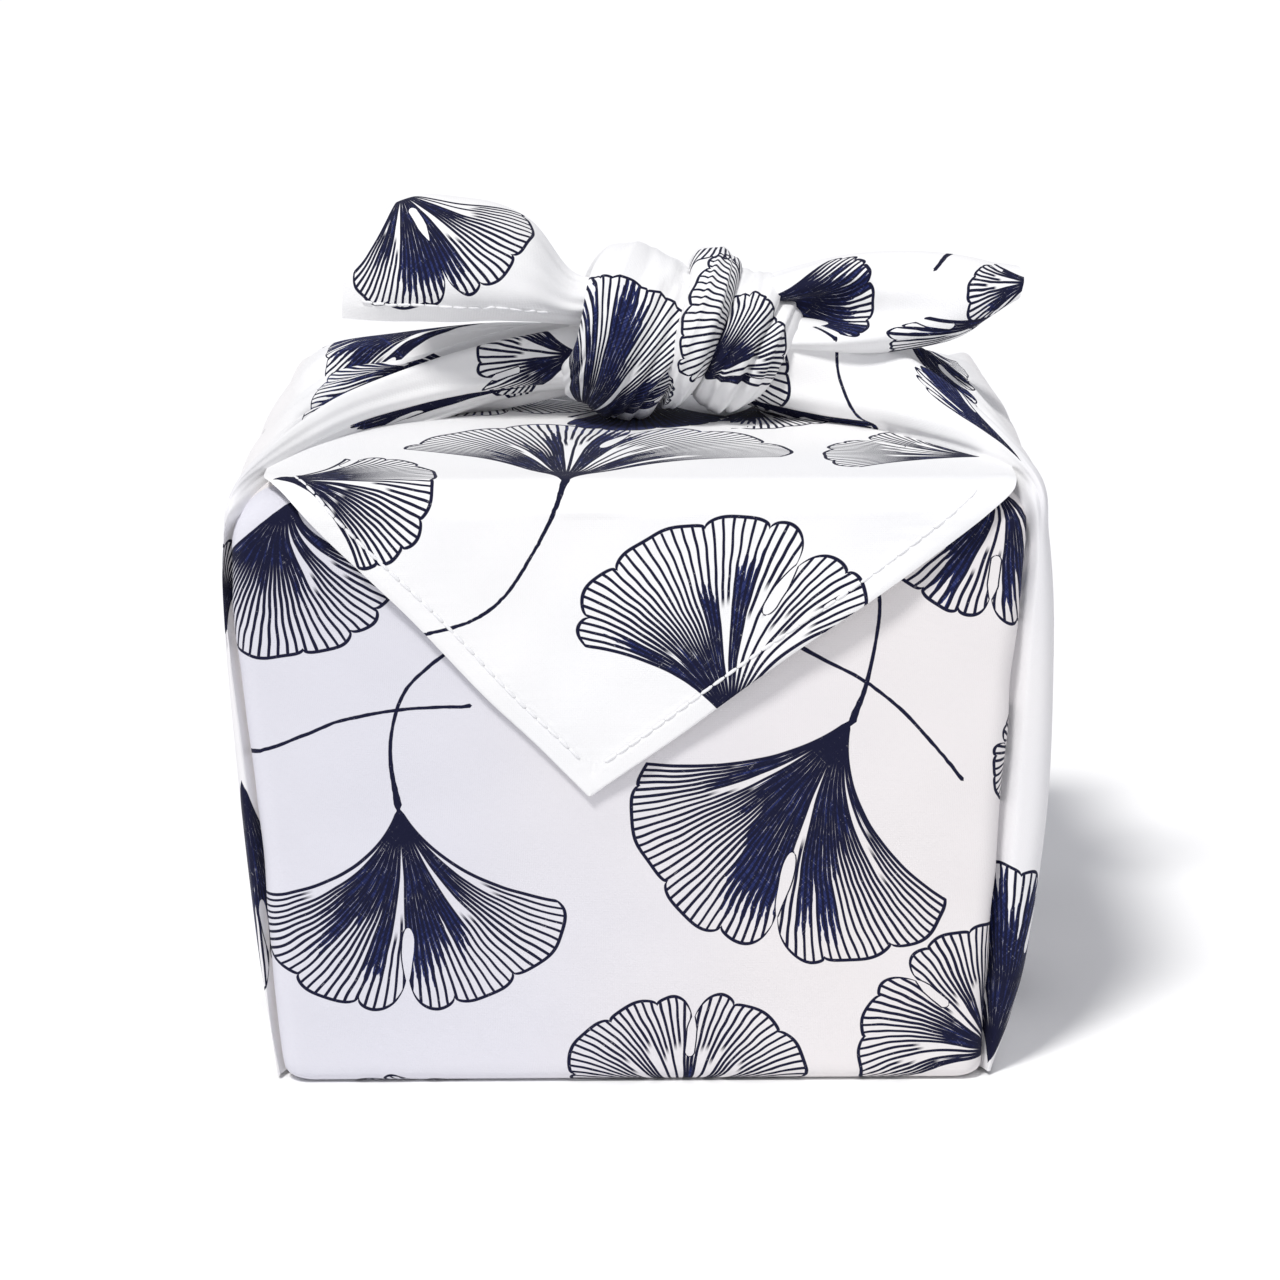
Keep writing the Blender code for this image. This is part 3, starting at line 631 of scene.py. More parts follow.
def flap():
    s = np.concatenate([np.linspace(0, HANG - 8, 46, endpoint=False), np.linspace(HANG - 8, HANG + 22, 34, endpoint=False),
                        np.linspace(HANG + 22, HANG + 176, 70)])
    cols = 88
    t = np.linspace(0, 1, cols)
    ss = np.repeat(s[:, None], cols, 1)
    lo, hi = edge_left(ss), edge_right(ss)
    # columns run evenly from hem to hem; d is each point's distance in from the free hems
    x = lo + (hi - lo) * t
    dl = (x - lo) * 0.72
    dr = (hi - x) * 0.59
    free_l = smooth(92, 80, s)[:, None]
    free_r = smooth(84, 76, s)[:, None]
    d = np.minimum(dl / np.maximum(free_l, 1e-3), dr / np.maximum(free_r, 1e-3))
    g = flap_point(x, ss)
    n = normals(g)
    if n[5:40, :, 1].mean() > 0:
        n = -n
    thick = PLY * 0.5 + 0.34 * smooth(HEM + 0.35, HEM - 0.35, d) - 0.30 * np.exp(-((d - HEM + 0.9) / 0.5) ** 2)
    thick = thick * smooth(-0.05, 0.5, d + 0.12)
    pucker = 0.12 * np.sin(ss * 1.9) * np.exp(-((d - HEM) / 3.5) ** 2)
    front = g + n * (thick + pucker)[..., None]
    rear = g - n * (PLY * 0.6 * smooth(-0.05, 0.5, d + 0.12))[..., None]
    flat = np.stack([x, ss], -1)
    flipit = np.cross(front[10, 41] - front[10, 40], front[11, 40] - front[10, 40])[1] < 0
    cloth.grid(front, flat, FLAP_LEAVES, FLAP_STEMS, flip=flipit)
    # over the back edge, where it runs on into the back of the wrap
    last = front[-1]
    rows, places = [], []
    for k in np.linspace(0, 1, 26):
        a, down = np.pi / 2 * max(0.0, 1 - k / 0.4), max(0.0, (k - 0.4) / 0.6)
        z = 138.0 + (last[:, 2] - 138.0) * np.sin(a) - 36.0 * down
        out = 1.2 * np.sin(np.pi * np.minimum(z, 138) / TOP) * np.sin(np.pi * np.clip((last[:, 0] + 95) / 188, 0, 1))
        y = last[:, 1] + (FRONT + 0.7 + out - last[:, 1]) * np.cos(a) - 2.4 * down ** 1.3
        mid = (last[:, 0].min() + last[:, 0].max()) / 2
        xx = mid + (last[:, 0] - mid) * (1 - 0.03 * k)
        rows.append(np.stack([xx, y, z], 1))
        up = 136.7 - 36.0 * down + 12.5 * a / (np.pi / 2)
        places.append(np.stack([along_back(xx, z), 0 * xx + up], 1))
    rows, places = np.array(rows), np.array(places)
    nb = np.cross(rows[12, 41] - rows[12, 40], rows[13, 40] - rows[12, 40])
    # painted shade fades in as this strip turns down the back, to meet the back's painted shade
    cloth.grid(rows, places, [(r[0] + BACK_MID,) + tuple(r[1:]) for r in BACK_LEAVES],
               [[v + (BACK_MID if q % 2 == 0 else 0) for q, v in enumerate(r)] for r in BACK_STEMS],
               flip=nb[1] > 0, tone=lambda c: smooth(137, 149, c[..., 1]))
    hang = s < HANG + 10
    rg = rear[hang]
    cloth.grid(rg, flat[hang], FLAP_LEAVES, FLAP_STEMS, rev=1.0, flip=not flipit)
    # rim of the sheet along its three free sides
    for a, b in ((front[hang][:, 0], rg[:, 0]), (front[hang][:, -1], rg[:, -1]), (front[0], rear[0])):
        strip = np.stack([a, b], 1)
        f2 = np.zeros(strip.shape[:2] + (2,))
        f2[..., 0] = strip[..., 0]
        f2[..., 1] = strip[..., 2] - FLAP_TIP[1]
        cloth.grid(strip, f2, ())


cloth = Cloth("cloth_front_corner")
flap()


def flap_stitches():
    for edge, k, sign in ((edge_left, 0.72, 1), (edge_right, 0.59, -1)):
        s = np.linspace(9.5 if sign > 0 else 8.6, 84 if sign > 0 else 77, 240)
        x = edge(s) + sign * (HEM - 0.9) / k
        g = flap_point(x, s)
        ahead = flap_point(x + 0.5, s) - g
        up = flap_point(x, s + 0.5) - g
        n = np.cross(up, ahead)
        n /= np.linalg.norm(n, axis=1, keepdims=True)
        if n[:100, 1].mean() > 0:
            n = -n
        stitch_line(g + n * (PLY * 0.5 + 0.1), n)


flap_stitches()


# ---------------------------------------------------------------- knot
KNOT_LEAVES = {  # across the wrap, and up its front
    "left": ((-3, -45, 2, 70, 44, 0.0, 0.9, 1.25, 61), (0, -40, 180, 40, 60, 0.0, 0.1, 1.6, 63),
             (0, 90, 170, 34, 58, 0.0, 0.1, 0.9, 64)),
    "middle": ((40, 14, -90, 50, 37, 0.0, 0.9, 0.5, 65), (-31, -19, 90, 31, 24, 0.0, 0.9, 0.6, 69),
               (0, 60, 170, 34, 58, 0.0, 0.1, 0.9, 66)),
    "right": ((-11, -13, 32, 34, 42, 0.0, 0.9, 1.1, 67), (0, 66, 170, 30, 58, 0.0, 0.1, 0.9, 68)),
}
PLEATS = {  # place across the wrap (-1 to 1), depth in mm and side, drift down the front
    "left": ((-0.84, -1.8, 0.10), (-0.56, -2.4, 0.20), (-0.22, -1.6, 0.12), (0.14, 2.4, 0.04), (0.44, 1.8, -0.08), (0.74, 2.6, -0.14)),
    "middle": ((-0.30, -1.8, 0.2), (0.45, 1.6, -0.1)),
    "right": ((-0.70, -1.6, 0.2), (-0.42, -2.0, 0.26), (-0.12, -1.8, 0.24), (0.22, 3.6, 0.12), (0.66, 1.8, 0.0)),
}


def ring(row, around, across):
    kind, x, y, z, lean, high, deep, wide, thick, narrow = row
    s = math.radians(lean)
    d1 = np.array([math.sin(s), 0, math.cos(s)])
    d2 = np.array([0, -1.0, 0])
    nn = np.array([math.cos(s), 0, -math.sin(s)])
    f = 2 * np.pi * np.arange(around)[:, None] / around
    gq = 2 * np.pi * (np.arange(across)[None, :] + 0.5) / across
    lift = 1 - 0.17 * smooth(0.35, 1.0, 0.5 - 0.5 * np.cos(f))      # the wraps stand clear of the cloth below
    c = np.array([x, y, z]) + d1 * (high * lift * np.cos(f))[..., None] + d2 * (deep * np.sin(f))[..., None]
    r = d1 * (np.cos(f) / high)[..., None] + d2 * (np.sin(f) / deep)[..., None]
    r /= np.linalg.norm(r, axis=2, keepdims=True)
    low = 0.5 - 0.5 * np.cos(f)                    # 0 at the top, 1 underneath
    w = wide * (1 - narrow * low) * (1 + 0.06 * np.sin(3 * f + x))
    cg, sg = np.cos(gq), np.sin(gq)
    cg = np.sign(cg) * np.abs(cg) ** 0.75
    # sharp pleats of the gathered cloth, drawn together low down
    t2 = thick / 2 * sg
    outer = np.clip(sg, 0, 1) ** 0.4
    front = np.clip(np.sin(f), 0, 1) ** 0.7
    for k, (place, depth, drift) in enumerate(PLEATS[kind]):
        at = place + drift * np.cos(f + 0.5 + k) - 0.10 * np.sin(2 * f + 1.7 * k)
        d = (cg - at) * wide / 2 * (1 if depth > 0 else -1)
        past = 0.5 + 0.5 * np.tanh(d / 0.35)
        live = 0.30 + 0.70 * front * (0.85 + 0.15 * np.sin(2.3 * k + 2 * f))
        t2 = t2 + outer * abs(depth) * live * (0.32 * (1 - past) * np.exp(np.minimum(d, 0) / 2.2) - past * np.exp(-np.maximum(d, 0) / 2.6))
    t2 = t2 + outer * 0.35 * np.sin(7 * cg + 3 * np.sin(f) + x)
    g = c + nn * (cg * w / 2)[..., None] + r * t2[..., None]
    rm = (high + deep) / 2 + thick / 2
    flat = np.stack([np.broadcast_to(cg * wide / 2 * 1.15, g.shape[:2]),
                     np.broadcast_to(-(f - np.pi / 2) * rm, g.shape[:2])], -1)
    # close the seam at the back of the ring with a copy of the first row
    g = np.concatenate([g, g[:1]])
    flat = np.concatenate([flat, flat[:1] - (0, 2 * np.pi * rm)])
    flat = np.concatenate([flat, flat[:, :1]], 1)
    nv = normals(g, closed_v=True)
    flip = ((g - c.mean((0, 1))) * nv).sum() > 0
    cloth.grid(g, flat, KNOT_LEAVES[kind], closed_v=True, flip=not flip)


cloth = Cloth("cloth_knot")
for row_ in KNOT:
    ring(row_, 150, 110)


def heart():
    x, y, z, a, b, c = KNOT_HEART
    u = np.linspace(0.02, np.pi - 0.02, 26)[:, None]
    v = np.linspace(0, 2 * np.pi, 40, endpoint=False)[None, :]
    g = np.stack([x + a * np.cos(u) + 0 * v, y + b * np.sin(u) * np.cos(v), z + c * np.sin(u) * np.sin(v)], -1)
    gg = np.concatenate([g, g[:, :1]], 1)
    cloth.grid(gg, gg[..., [0, 2]], ())


heart()


# ---------------------------------------------------------------- free ends
TAIL_L_LEAVES = (  # out from the knot, and up from the lower edge
    (67, 44, 211, 44, 54, 0.0, -0.05, 1.1, 71, 0.30),
    (10, 70, 180, 34, 60, 0.0, 0.2, 0.9, 72),
)
TAIL_R_LEAVES = (
    (6, 21, 90, 33, 42, 0.0, 0.9, 1.5, 73),
    (82, 9, -84, 22, 46, 0.0, 0.9, 0.9, 74),
    (82, 2, -92, 44, 17, 0.0, 0.9, 1.3, 75),
)
TAIL_R_STEMS = ((55.6, 31, 55, 29.4, 54.6, 27.8, 54.2, 26.2, 53.7, 24.6, 53, 23),)


def tail(table, leaves, stems, rows, cols, seed):
    t = np.array([[r[1 + 3 * k:4 + 3 * k] for k in range(6)] for r in table], float)
    g = spline(spline(t, cols).transpose(1, 0, 2), rows)     # stations by folds
    m, n = g.shape[:2]
    nn = normals(g)
    ref = nn[m // 2, n // 3]
    if ref[1] > 0:
        nn = -nn
    u = np.linspace(0, 1, m)[:, None]
    v = np.linspace(0, 1, n)[None, :]
    knot_end = smooth(0.55, 0.05, u)
    h = knot_end * 0.5 * np.sin(2 * np.pi * 7 * v + seed + 2 * u) + 0.35 * waves(g, seed, 26) * (1 - knot_end)
    g = g + nn * h[..., None]
    fv = arc(g, 1)
    fu = arc(g, 0)[:, n // 3:n // 3 + 1]
    flat = np.stack([np.repeat(fu, n, 1), fv], -1)
    d = np.minimum(fv, (fu[-1] - fu) + 0 * fv)               # from the hems
    d = np.minimum(d, fv[:, -1:] - fv)
    thick = PLY * 0.5 + 0.3 * smooth(HEM + 0.35, HEM - 0.35, d) - 0.25 * np.exp(-((d - HEM + 0.9) / 0.5) ** 2)
    front = g + nn * thick[..., None]
    rear = g - nn * (PLY * 0.5)
    flip = np.dot(np.cross(front[m // 2 + 1, n // 3] - front[m // 2, n // 3],
                           front[m // 2, n // 3 + 1] - front[m // 2, n // 3]), nn[m // 2, n // 3]) < 0
    cloth.grid(front, flat, leaves, stems, flip=flip)
    cloth.grid(rear, flat, leaves, stems, rev=1.0, flip=not flip)
    for a, b in ((front[:, 0], rear[:, 0]), (front[:, -1], rear[:, -1]), (front[-1], rear[-1])):
        strip = np.stack([a, b], 1)
        cloth.grid(strip, strip[..., [0, 2]] + (0, 900), ())
    return front, nn, d


cloth = Cloth("cloth_right_end")
tail_r = tail(TAIL_R, TAIL_R_LEAVES, TAIL_R_STEMS, 62, 70, 4)
cloth = Cloth("cloth_left_end")
tail_l = tail(TAIL_L, TAIL_L_LEAVES, (), 62, 70, 3)


def tail_stitches(front, nn, d):
    m, n = d.shape
    row = []
    for i in range(int(m * 0.30), m - 1):
        k = np.argmax(d[i, :n // 2] > HEM - 0.9)
        if d[i, :n // 2].max() > HEM - 0.9 and k > 0:
            row.append((i, k))
    if len(row) > 4:
        p = np.array([front[i, k] for i, k in row])
        o = np.array([nn[i, k] for i, k in row])
        stitch_line(even(p, 120), np.array([o[int(q)] for q in np.linspace(0, len(o) - 1, 120)]))


tail_stitches(*tail_l)


# ---------------------------------------------------------------- meshes
def build(sheet):
    v = np.concatenate(sheet.v) * MM
    f = np.concatenate(sheet.f)
    me = bpy.data.meshes.new(sheet.name)
    me.vertices.add(len(v))
    me.vertices.foreach_set("co", v.ravel())
    me.loops.add(f.size)
    me.loops.foreach_set("vertex_index", f.ravel().astype(np.int32))
    me.polygons.add(len(f))
    me.polygons.foreach_set("loop_start", np.arange(0, f.size, 4, dtype=np.int32))
    me.polygons.foreach_set("material_index", np.concatenate(sheet.slot).astype(np.int32))
    me.polygons.foreach_set("use_smooth", np.ones(len(f), bool))
    me.update(calc_edges=True)
    leaf = np.concatenate(sheet.leaf).reshape(-1, 2, 9)
    stem = np.concatenate(sheet.stem).reshape(-1, 2, 3)
    flat = np.concatenate(sheet.flat).reshape(-1, 2)
    tone = np.concatenate(sheet.tone).reshape(-1, 3)

    def keep(name, values):
        at = me.attributes.new(name, "FLOAT_VECTOR", "CORNER")
        at.data.foreach_set("vector", np.ascontiguousarray(values, np.float32).ravel())

    for k, letter in enumerate("AB"):
        for j, part in enumerate(("place", "kind", "shape")):
            keep(f"leaf{letter}_{part}", leaf[:, k, 3 * j:3 * j + 3])
        keep(f"stem{letter}", stem[:, k])
    keep("flat", np.column_stack([flat, 0 * flat[:, 0]]))
    keep("tone", tone)
    ob = bpy.data.objects.new(sheet.name, me)
    bpy.context.scene.collection.objects.link(ob)
    return ob


pieces = [build(s) for s in SHEETS]
print("triangles", [(o.name, sum(len(p.vertices) - 2 for p in o.data.polygons)) for o in pieces])


# ---------------------------------------------------------------- shader tools
class Sock:
    """A number in a node tree, with arithmetic."""

    def __init__(self, tree, out):
        self.t, self.o = tree, out

    def op(self, kind, *rest, clamp=False):
        n = self.t.nodes.new("ShaderNodeMath")
        n.operation = kind
        n.use_clamp = clamp
        for k, x in enumerate((self,) + rest):
            if isinstance(x, Sock):
                self.t.links.new(x.o, n.inputs[k])
            else:
                n.inputs[k].default_value = float(x)
        return Sock(self.t, n.outputs[0])

    def __add__(s, x): return s.op("ADD", x)
    def __radd__(s, x): return s.op("ADD", x)
    def __sub__(s, x): return s.op("SUBTRACT", x)
    def __rsub__(s, x): return s.op("MULTIPLY", -1.0).op("ADD", x)
    def __mul__(s, x): return s.op("MULTIPLY", x)
    def __rmul__(s, x): return s.op("MULTIPLY", x)
    def __truediv__(s, x): return s.op("DIVIDE", x)

    def __rtruediv__(s, x):
        return s.op("POWER", -1.0) * x

    def sin(s): return s.op("SINE")
    def cos(s): return s.op("COSINE")
    def abs(s): return s.op("ABSOLUTE")
    def floor(s): return s.op("FLOOR")
    def fract(s): return s.op("FRACT")
    def sqrt(s): return s.op("SQRT")
    def exp(s): return s.op("EXPONENT")
    def power(s, x): return s.op("POWER", x)
    def least(s, x): return s.op("MINIMUM", x)
    def most(s, x): return s.op("MAXIMUM", x)
    def below(s, x): return s.op("LESS_THAN", x)

    def step(self, a, b, lo=0.0, hi=1.0):
        """Smooth step from lo at a to hi at b; a may be over b."""
        n = self.t.nodes.new("ShaderNodeMapRange")
        n.interpolation_type = "SMOOTHSTEP"
        n.clamp = True
        for k, x in ((0, self), (1, a), (2, b), (3, lo), (4, hi)):
            if isinstance(x, Sock):
                self.t.links.new(x.o, n.inputs[k])
            else:
                n.inputs[k].default_value = float(x)
        return Sock(self.t, n.outputs[0])


def chance(tree, a, b):
    """A fixed chance value from two numbers."""
    n = tree.nodes.new("ShaderNodeTexWhiteNoise")
    n.noise_dimensions = "2D"
    c = tree.nodes.new("ShaderNodeCombineXYZ")
    for k, x in enumerate((a, b)):
        if isinstance(x, Sock):
            tree.links.new(x.o, c.inputs[k])
        else:
            c.inputs[k].default_value = float(x)
    tree.links.new(c.outputs[0], n.inputs["Vector"])
    return Sock(tree, n.outputs["Value"])


def parts_of(tree, vec):
    n = tree.nodes.new("ShaderNodeSeparateXYZ")
    tree.links.new(vec, n.inputs[0])
    return [Sock(tree, o) for o in n.outputs]


def leaf_group():
    """Ink of one ginkgo leaf from its own frame, and how much of it is brushed between the veins."""
    t = bpy.data.node_groups.new("ginkgo leaf", "ShaderNodeTree")
    for name in ("place", "kind", "shape"):
        t.interface.new_socket(name=name, in_out="INPUT", socket_type="NodeSocketVector")
    for name in ("ink", "streak"):
        t.interface.new_socket(name=name, in_out="OUTPUT", socket_type="NodeSocketFloat")
    gi, go = t.nodes.new("NodeGroupInput"), t.nodes.new("NodeGroupOutput")
    x, y, seed = parts_of(t, gi.outputs[0])
    rmm, spread, dark = parts_of(t, gi.outputs[1])
    notch, curl, start = parts_of(t, gi.outputs[2])
    seed = (seed + 0.5).floor()

    # a slightly unsteady hand
    nz = t.nodes.new("ShaderNodeTexNoise")
    nz.noise_dimensions = "3D"
    cb = t.nodes.new("ShaderNodeCombineXYZ")
    for k, s in enumerate((x * 5.5, y * 5.5, seed * 3.7)):
        t.links.new(s.o, cb.inputs[k])
    t.links.new(cb.outputs[0], nz.inputs["Vector"])
    nz.inputs["Scale"].default_value = 1.0
    nz.inputs["Detail"].default_value = 1.0
    shake = Sock(t, nz.outputs["Fac"]) - 0.5

    r = (x * x + y * y).sqrt()
    c1, c2, c3 = chance(t, seed, 1.3), chance(t, seed, 2.7), chance(t, seed, 5.1)
    th = x.op("ARCTAN2", y) + (curl + (c1 - 0.5) * 0.12) * r + shake * 0.022
    wide = spread * (r.least(1.1).power(0.70) * 0.76 + 0.24)
    lab = th / wide                                    # -1 to 1 across the fan
    edge = lab.abs()
    off = lab - notch
    split = off.abs() * wide * r * rmm                 # mm from the notch's middle

    # rim of shallow lobes with cusps between, rounded off at the notch and the ends
    u = off * 3.3 + (off * 4.1).sin() * 0.34
    fr = u.fract() * 2.0 - 1.0
    bump = (1.0 - fr * fr).most(0.0).sqrt()
    size = chance(t, u.floor(), seed + 9.0)
    rim = 0.905 + bump * (size * 0.040 + 0.020)
    rim = rim + (lab * 2.4 + c3 * 6.0).sin() * 0.024 + (lab * 27.0 + c2 * 9.0).sin() * 0.004
    rim = rim - edge.power(4.0) * 0.15
    close = (1.0 - split / (rmm * 0.17)).most(0.0)
    rim = rim - (1.0 - (1.0 - close * close).most(0.0).sqrt()) * 0.17

    # the notch: a drop, then a slit that opens at the rim
    k = ((r - start) / 0.26).most(0.0).least(1.0)
    slit = (k.power(0.62) * math.pi).sin().most(0.0).power(0.75) * 1.5
    slit = slit.most(r.step(0.84, 1.0) * 1.3).least(rmm * 0.026)
    in_notch = split - slit
    beyond = r.op("GREATER_THAN", start)
    open_ = in_notch.below(0.0) * beyond

    # veins: every third one runs from the base, the others start further out
    half = (spread * rmm / 8.6 + 0.2).floor() + 1.0
    cc = lab * half + shake * 0.07
    cell, f0 = cc.floor(), cc.fract()
    pitch = wide * r * rmm / half                      # mm between the long veins
    a1, a2, a3 = chance(t, cell, seed), chance(t, cell, seed + 20.0), chance(t, cell, seed + 40.0)
    line = 0.36 + (a3 - 0.5) * 0.08
    soft = 0.07
    long_ = (f0.least(1.0 - f0) * pitch).step(line + soft, line - soft)
    bare = a1.step(0.30 - (dark - 1.0) * 0.3, 0.29 - (dark - 1.0) * 0.3)   # gaps left pale down to the base
    late = bare * 0.22
    begin = r.step(0.24 + a2 * 0.14 + late, 0.30 + a2 * 0.14 + late)
    begin2 = r.step(0.30 + a3 * 0.14 + late, 0.36 + a3 * 0.14 + late)
    short = ((f0 - 0.333).abs() * pitch).step(line + soft, line - soft) * begin
    short = short.most(((f0 - 0.667).abs() * pitch).step(line + soft, line - soft) * begin2)
    # ink fills the gaps from the base outwards and thins away in brushed points
    tri = f0 * 3.0
    which, f3 = tri.floor(), tri.fract()
    g1 = chance(t, cell * 3.0 + which, seed + 60.0)
    mid = split.step(19.0, 3.0)
    brush = t.nodes.new("ShaderNodeTexNoise")
    brush.noise_dimensions = "3D"
    cb2 = t.nodes.new("ShaderNodeCombineXYZ")
    for q, v in enumerate((lab * half * 9.0, r * rmm * 0.30, seed * 1.9)):
        t.links.new(v.o, cb2.inputs[q])
    t.links.new(cb2.outputs[0], brush.inputs["Vector"])
    brush.inputs["Scale"].default_value = 1.0
    brush.inputs["Detail"].default_value = 2.0
    dry = Sock(t, brush.outputs["Fac"]) - 0.5
    reach = (g1 * 0.18 + a2 * 0.40 + 0.14 + mid * 0.22 - edge * 0.14) * dark
    reach = (reach.least(dark * 0.64) + dry * 0.16) * (1.0 - bare) + bare * 0.12
    opened = r.step(reach, reach + 0.26)
    fill_w = pitch / 6.0 * (1.0 - opened) * 1.04
    near3 = f3.least(1.0 - f3) * pitch / 3.0
    fill = (near3 - fill_w - dry * 0.30 * (1.0 - opened)).step(soft * 0.6, -soft * 0.6) * opened.below(0.97)
    fill = fill * (1.0 - bare)
    packed = pitch.step(0.95, 0.60)
    ink = long_.most(short).most(fill).most(packed)
    streak = fill * (1.0 - long_) * (1.0 - short) * r.step(0.16, 0.46)

    # outline
    rim_ink = ((r - rim).abs() * rmm).step(0.50, 0.34)
    side_ink = ((1.0 - edge).abs() * wide * r * rmm).step(0.52, 0.36)
    notch_ink = in_notch.abs().step(0.44, 0.28) * r.op("GREATER_THAN", start - 0.006)
    body = ink.most(notch_ink) * (1.0 - open_)
    body = body * r.below(rim) * edge.below(1.0)
    body = body.most(rim_ink * edge.below(1.01) * (1.0 - open_))
    body = body.most(side_ink * r.below(rim + 0.004))
    body = body * y.op("GREATER_THAN", -0.6)
    t.links.new(body.o, go.inputs[0])
    t.links.new((streak * (1.0 - rim_ink) * (1.0 - packed * 0.6)).o, go.inputs[1])
    return t


LEAF = leaf_group()


def attribute(tree, name):
    n = tree.nodes.new("ShaderNodeAttribute")
    n.attribute_type = "GEOMETRY"
    n.attribute_name = name
    return n.outputs["Vector"]


def cotton():
    m = bpy.data.materials.new("printed cotton")
    m.use_nodes = True
    t = m.node_tree
    b = t.nodes["Principled BSDF"]
    inks = []
    for letter in "AB":
        n = t.nodes.new("ShaderNodeGroup")
        n.node_tree = LEAF
        for k, part in enumerate(("place", "kind", "shape")):
            t.links.new(attribute(t, f"leaf{letter}_{part}"), n.inputs[k])
        inks.append((Sock(t, n.outputs[0]), Sock(t, n.outputs[1])))
    ink, streak = inks[0][0].most(inks[1][0]), inks[0][1].most(inks[1][1])
    fx, fy, _ = parts_of(t, attribute(t, "flat"))
    # unshaded: 1 for the cloth's own white, down to 0 for the painted shade colour; rev marks the reverse side
    tone, rev, _ = parts_of(t, attribute(t, "tone"))

    def noise(a, bb, cc, detail=2.0):
        n = t.nodes.new("ShaderNodeTexNoise")
        cmb = t.nodes.new("ShaderNodeCombineXYZ")
        for k, s in enumerate((a, bb, cc)):
            if isinstance(s, Sock):
                t.links.new(s.o, cmb.inputs[k])
            else:
                cmb.inputs[k].default_value = float(s)
        t.links.new(cmb.outputs[0], n.inputs["Vector"])
        n.inputs["Scale"].default_value = 1.0
        n.inputs["Detail"].default_value = detail
        return Sock(t, n.outputs["Fac"])

    # threads run on the bias, as the cloth is laid cornerwise
    p = (fx + fy) * 0.7071
    q = (fx - fy) * 0.7071
    warp = noise(p * 2.4, q * 0.16, 1.0, 1.0)
    weft = noise(q * 2.4, p * 0.16, 7.0, 1.0)
    pitch = 0.62
    wp = (p * (2 * math.pi / pitch)).sin()
    wq = (q * (2 * math.pi / pitch)).sin()
    weave = wp * wq
    slub = warp * 0.5 + weft * 0.5
    height = weave * 0.05 + slub * 0.22

    for letter in "AB":
        sd, along, w = parts_of(t, attribute(t, f"stem{letter}"))
        wob = noise(along * 0.5, w, 2.0, 1.0) - 0.5
        hw = w * (1.0 + wob * 0.5)
        ink = ink.most(sd.abs().step(hw + 0.08, hw - 0.08))

    # colours
    def between(fac, one, two):
        n = t.nodes.new("ShaderNodeMix")
        n.data_type = "RGBA"
        for name, v in (("A", one), ("B", two)):
            if isinstance(v, tuple):
                n.inputs[name].default_value = v + (1,)
            else:
                t.links.new(v, n.inputs[name])
        t.links.new(fac.o, n.inputs["Factor"])
        return n.outputs["Result"]

    # painted shade: where unshaded is 0 (the box's sides) the white is painted darker, lavender on the left and
    # pinkish on the right; clear is the cloth's own white, which varies at random
    broad = noise(fx * 0.018, fy * 0.018, 3.0, 1.0)
    panel = between((fx + broad * 60.0).step(-35.0, 95.0), (0.700, 0.695, 0.756), (0.800, 0.768, 0.770))
    clear = between(broad.step(0.3, 0.7), (0.865, 0.865, 0.875), (0.90, 0.895, 0.895))
    white = between(tone, panel, clear)
    blue = between(slub.step(0.40, 0.60), (0.007, 0.010, 0.050), (0.020, 0.030, 0.130))
    blue = between(streak, (0.005, 0.006, 0.028), blue)
    ink = ink * (1.0 - slub.step(0.60, 0.74) * 0.22)
    ink = ink * (1.0 - rev * 0.62)
    mix = t.nodes.new("ShaderNodeMix")
    mix.data_type = "RGBA"
    t.links.new(ink.o, mix.inputs["Factor"])
    t.links.new(white, mix.inputs["A"])
    t.links.new(blue, mix.inputs["B"])
    t.links.new(mix.outputs["Result"], b.inputs["Base Color"])
    rough = 0.86 - slub * 0.10
    t.links.new(rough.o, b.inputs["Roughness"])
    b.inputs["Specular IOR Level"].default_value = 0.18
    b.inputs["Sheen Weight"].default_value = 0.05
    b.inputs["Sheen Roughness"].default_value = 0.45
    bump = t.nodes.new("ShaderNodeBump")
    bump.inputs["Strength"].default_value = 0.55
    bump.inputs["Distance"].default_value = 0.0006
    t.links.new(height.o, bump.inputs["Height"])
    t.links.new(bump.outputs[0], b.inputs["Normal"])
    return m


def thread():
    m = bpy.data.materials.new("white thread")
    m.use_nodes = True
    t = m.node_tree
    b = t.nodes["Principled BSDF"]
    n = t.nodes.new("ShaderNodeTexNoise")
    n.inputs["Scale"].default_value = 2600
    n.inputs["Detail"].default_value = 1.0
    co = t.nodes.new("ShaderNodeTexCoord")
    t.links.new(co.outputs["Object"], n.inputs["Vector"])
    f = Sock(t, n.outputs["Fac"])
    mix = t.nodes.new("ShaderNodeMix")
    mix.data_type = "RGBA"
    mix.inputs["A"].default_value = (0.78, 0.78, 0.80, 1)
    mix.inputs["B"].default_value = (0.94, 0.94, 0.95, 1)
    t.links.new(f.o, mix.inputs["Factor"])
    t.links.new(mix.outputs["Result"], b.inputs["Base Color"])
    t.links.new((0.75 - f * 0.15).o, b.inputs["Roughness"])
    bump = t.nodes.new("ShaderNodeBump")
    bump.inputs["Strength"].default_value = 0.3
    bump.inputs["Distance"].default_value = 0.0002
    t.links.new(f.o, bump.inputs["Height"])
    t.links.new(bump.outputs[0], b.inputs["Normal"])
    return m


cotton_, thread_ = cotton(), thread()
for ob in pieces:
    ob.data.materials.append(cotton_)
    ob.data.materials.append(thread_)
    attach(ob, "root")
    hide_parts("cloth")


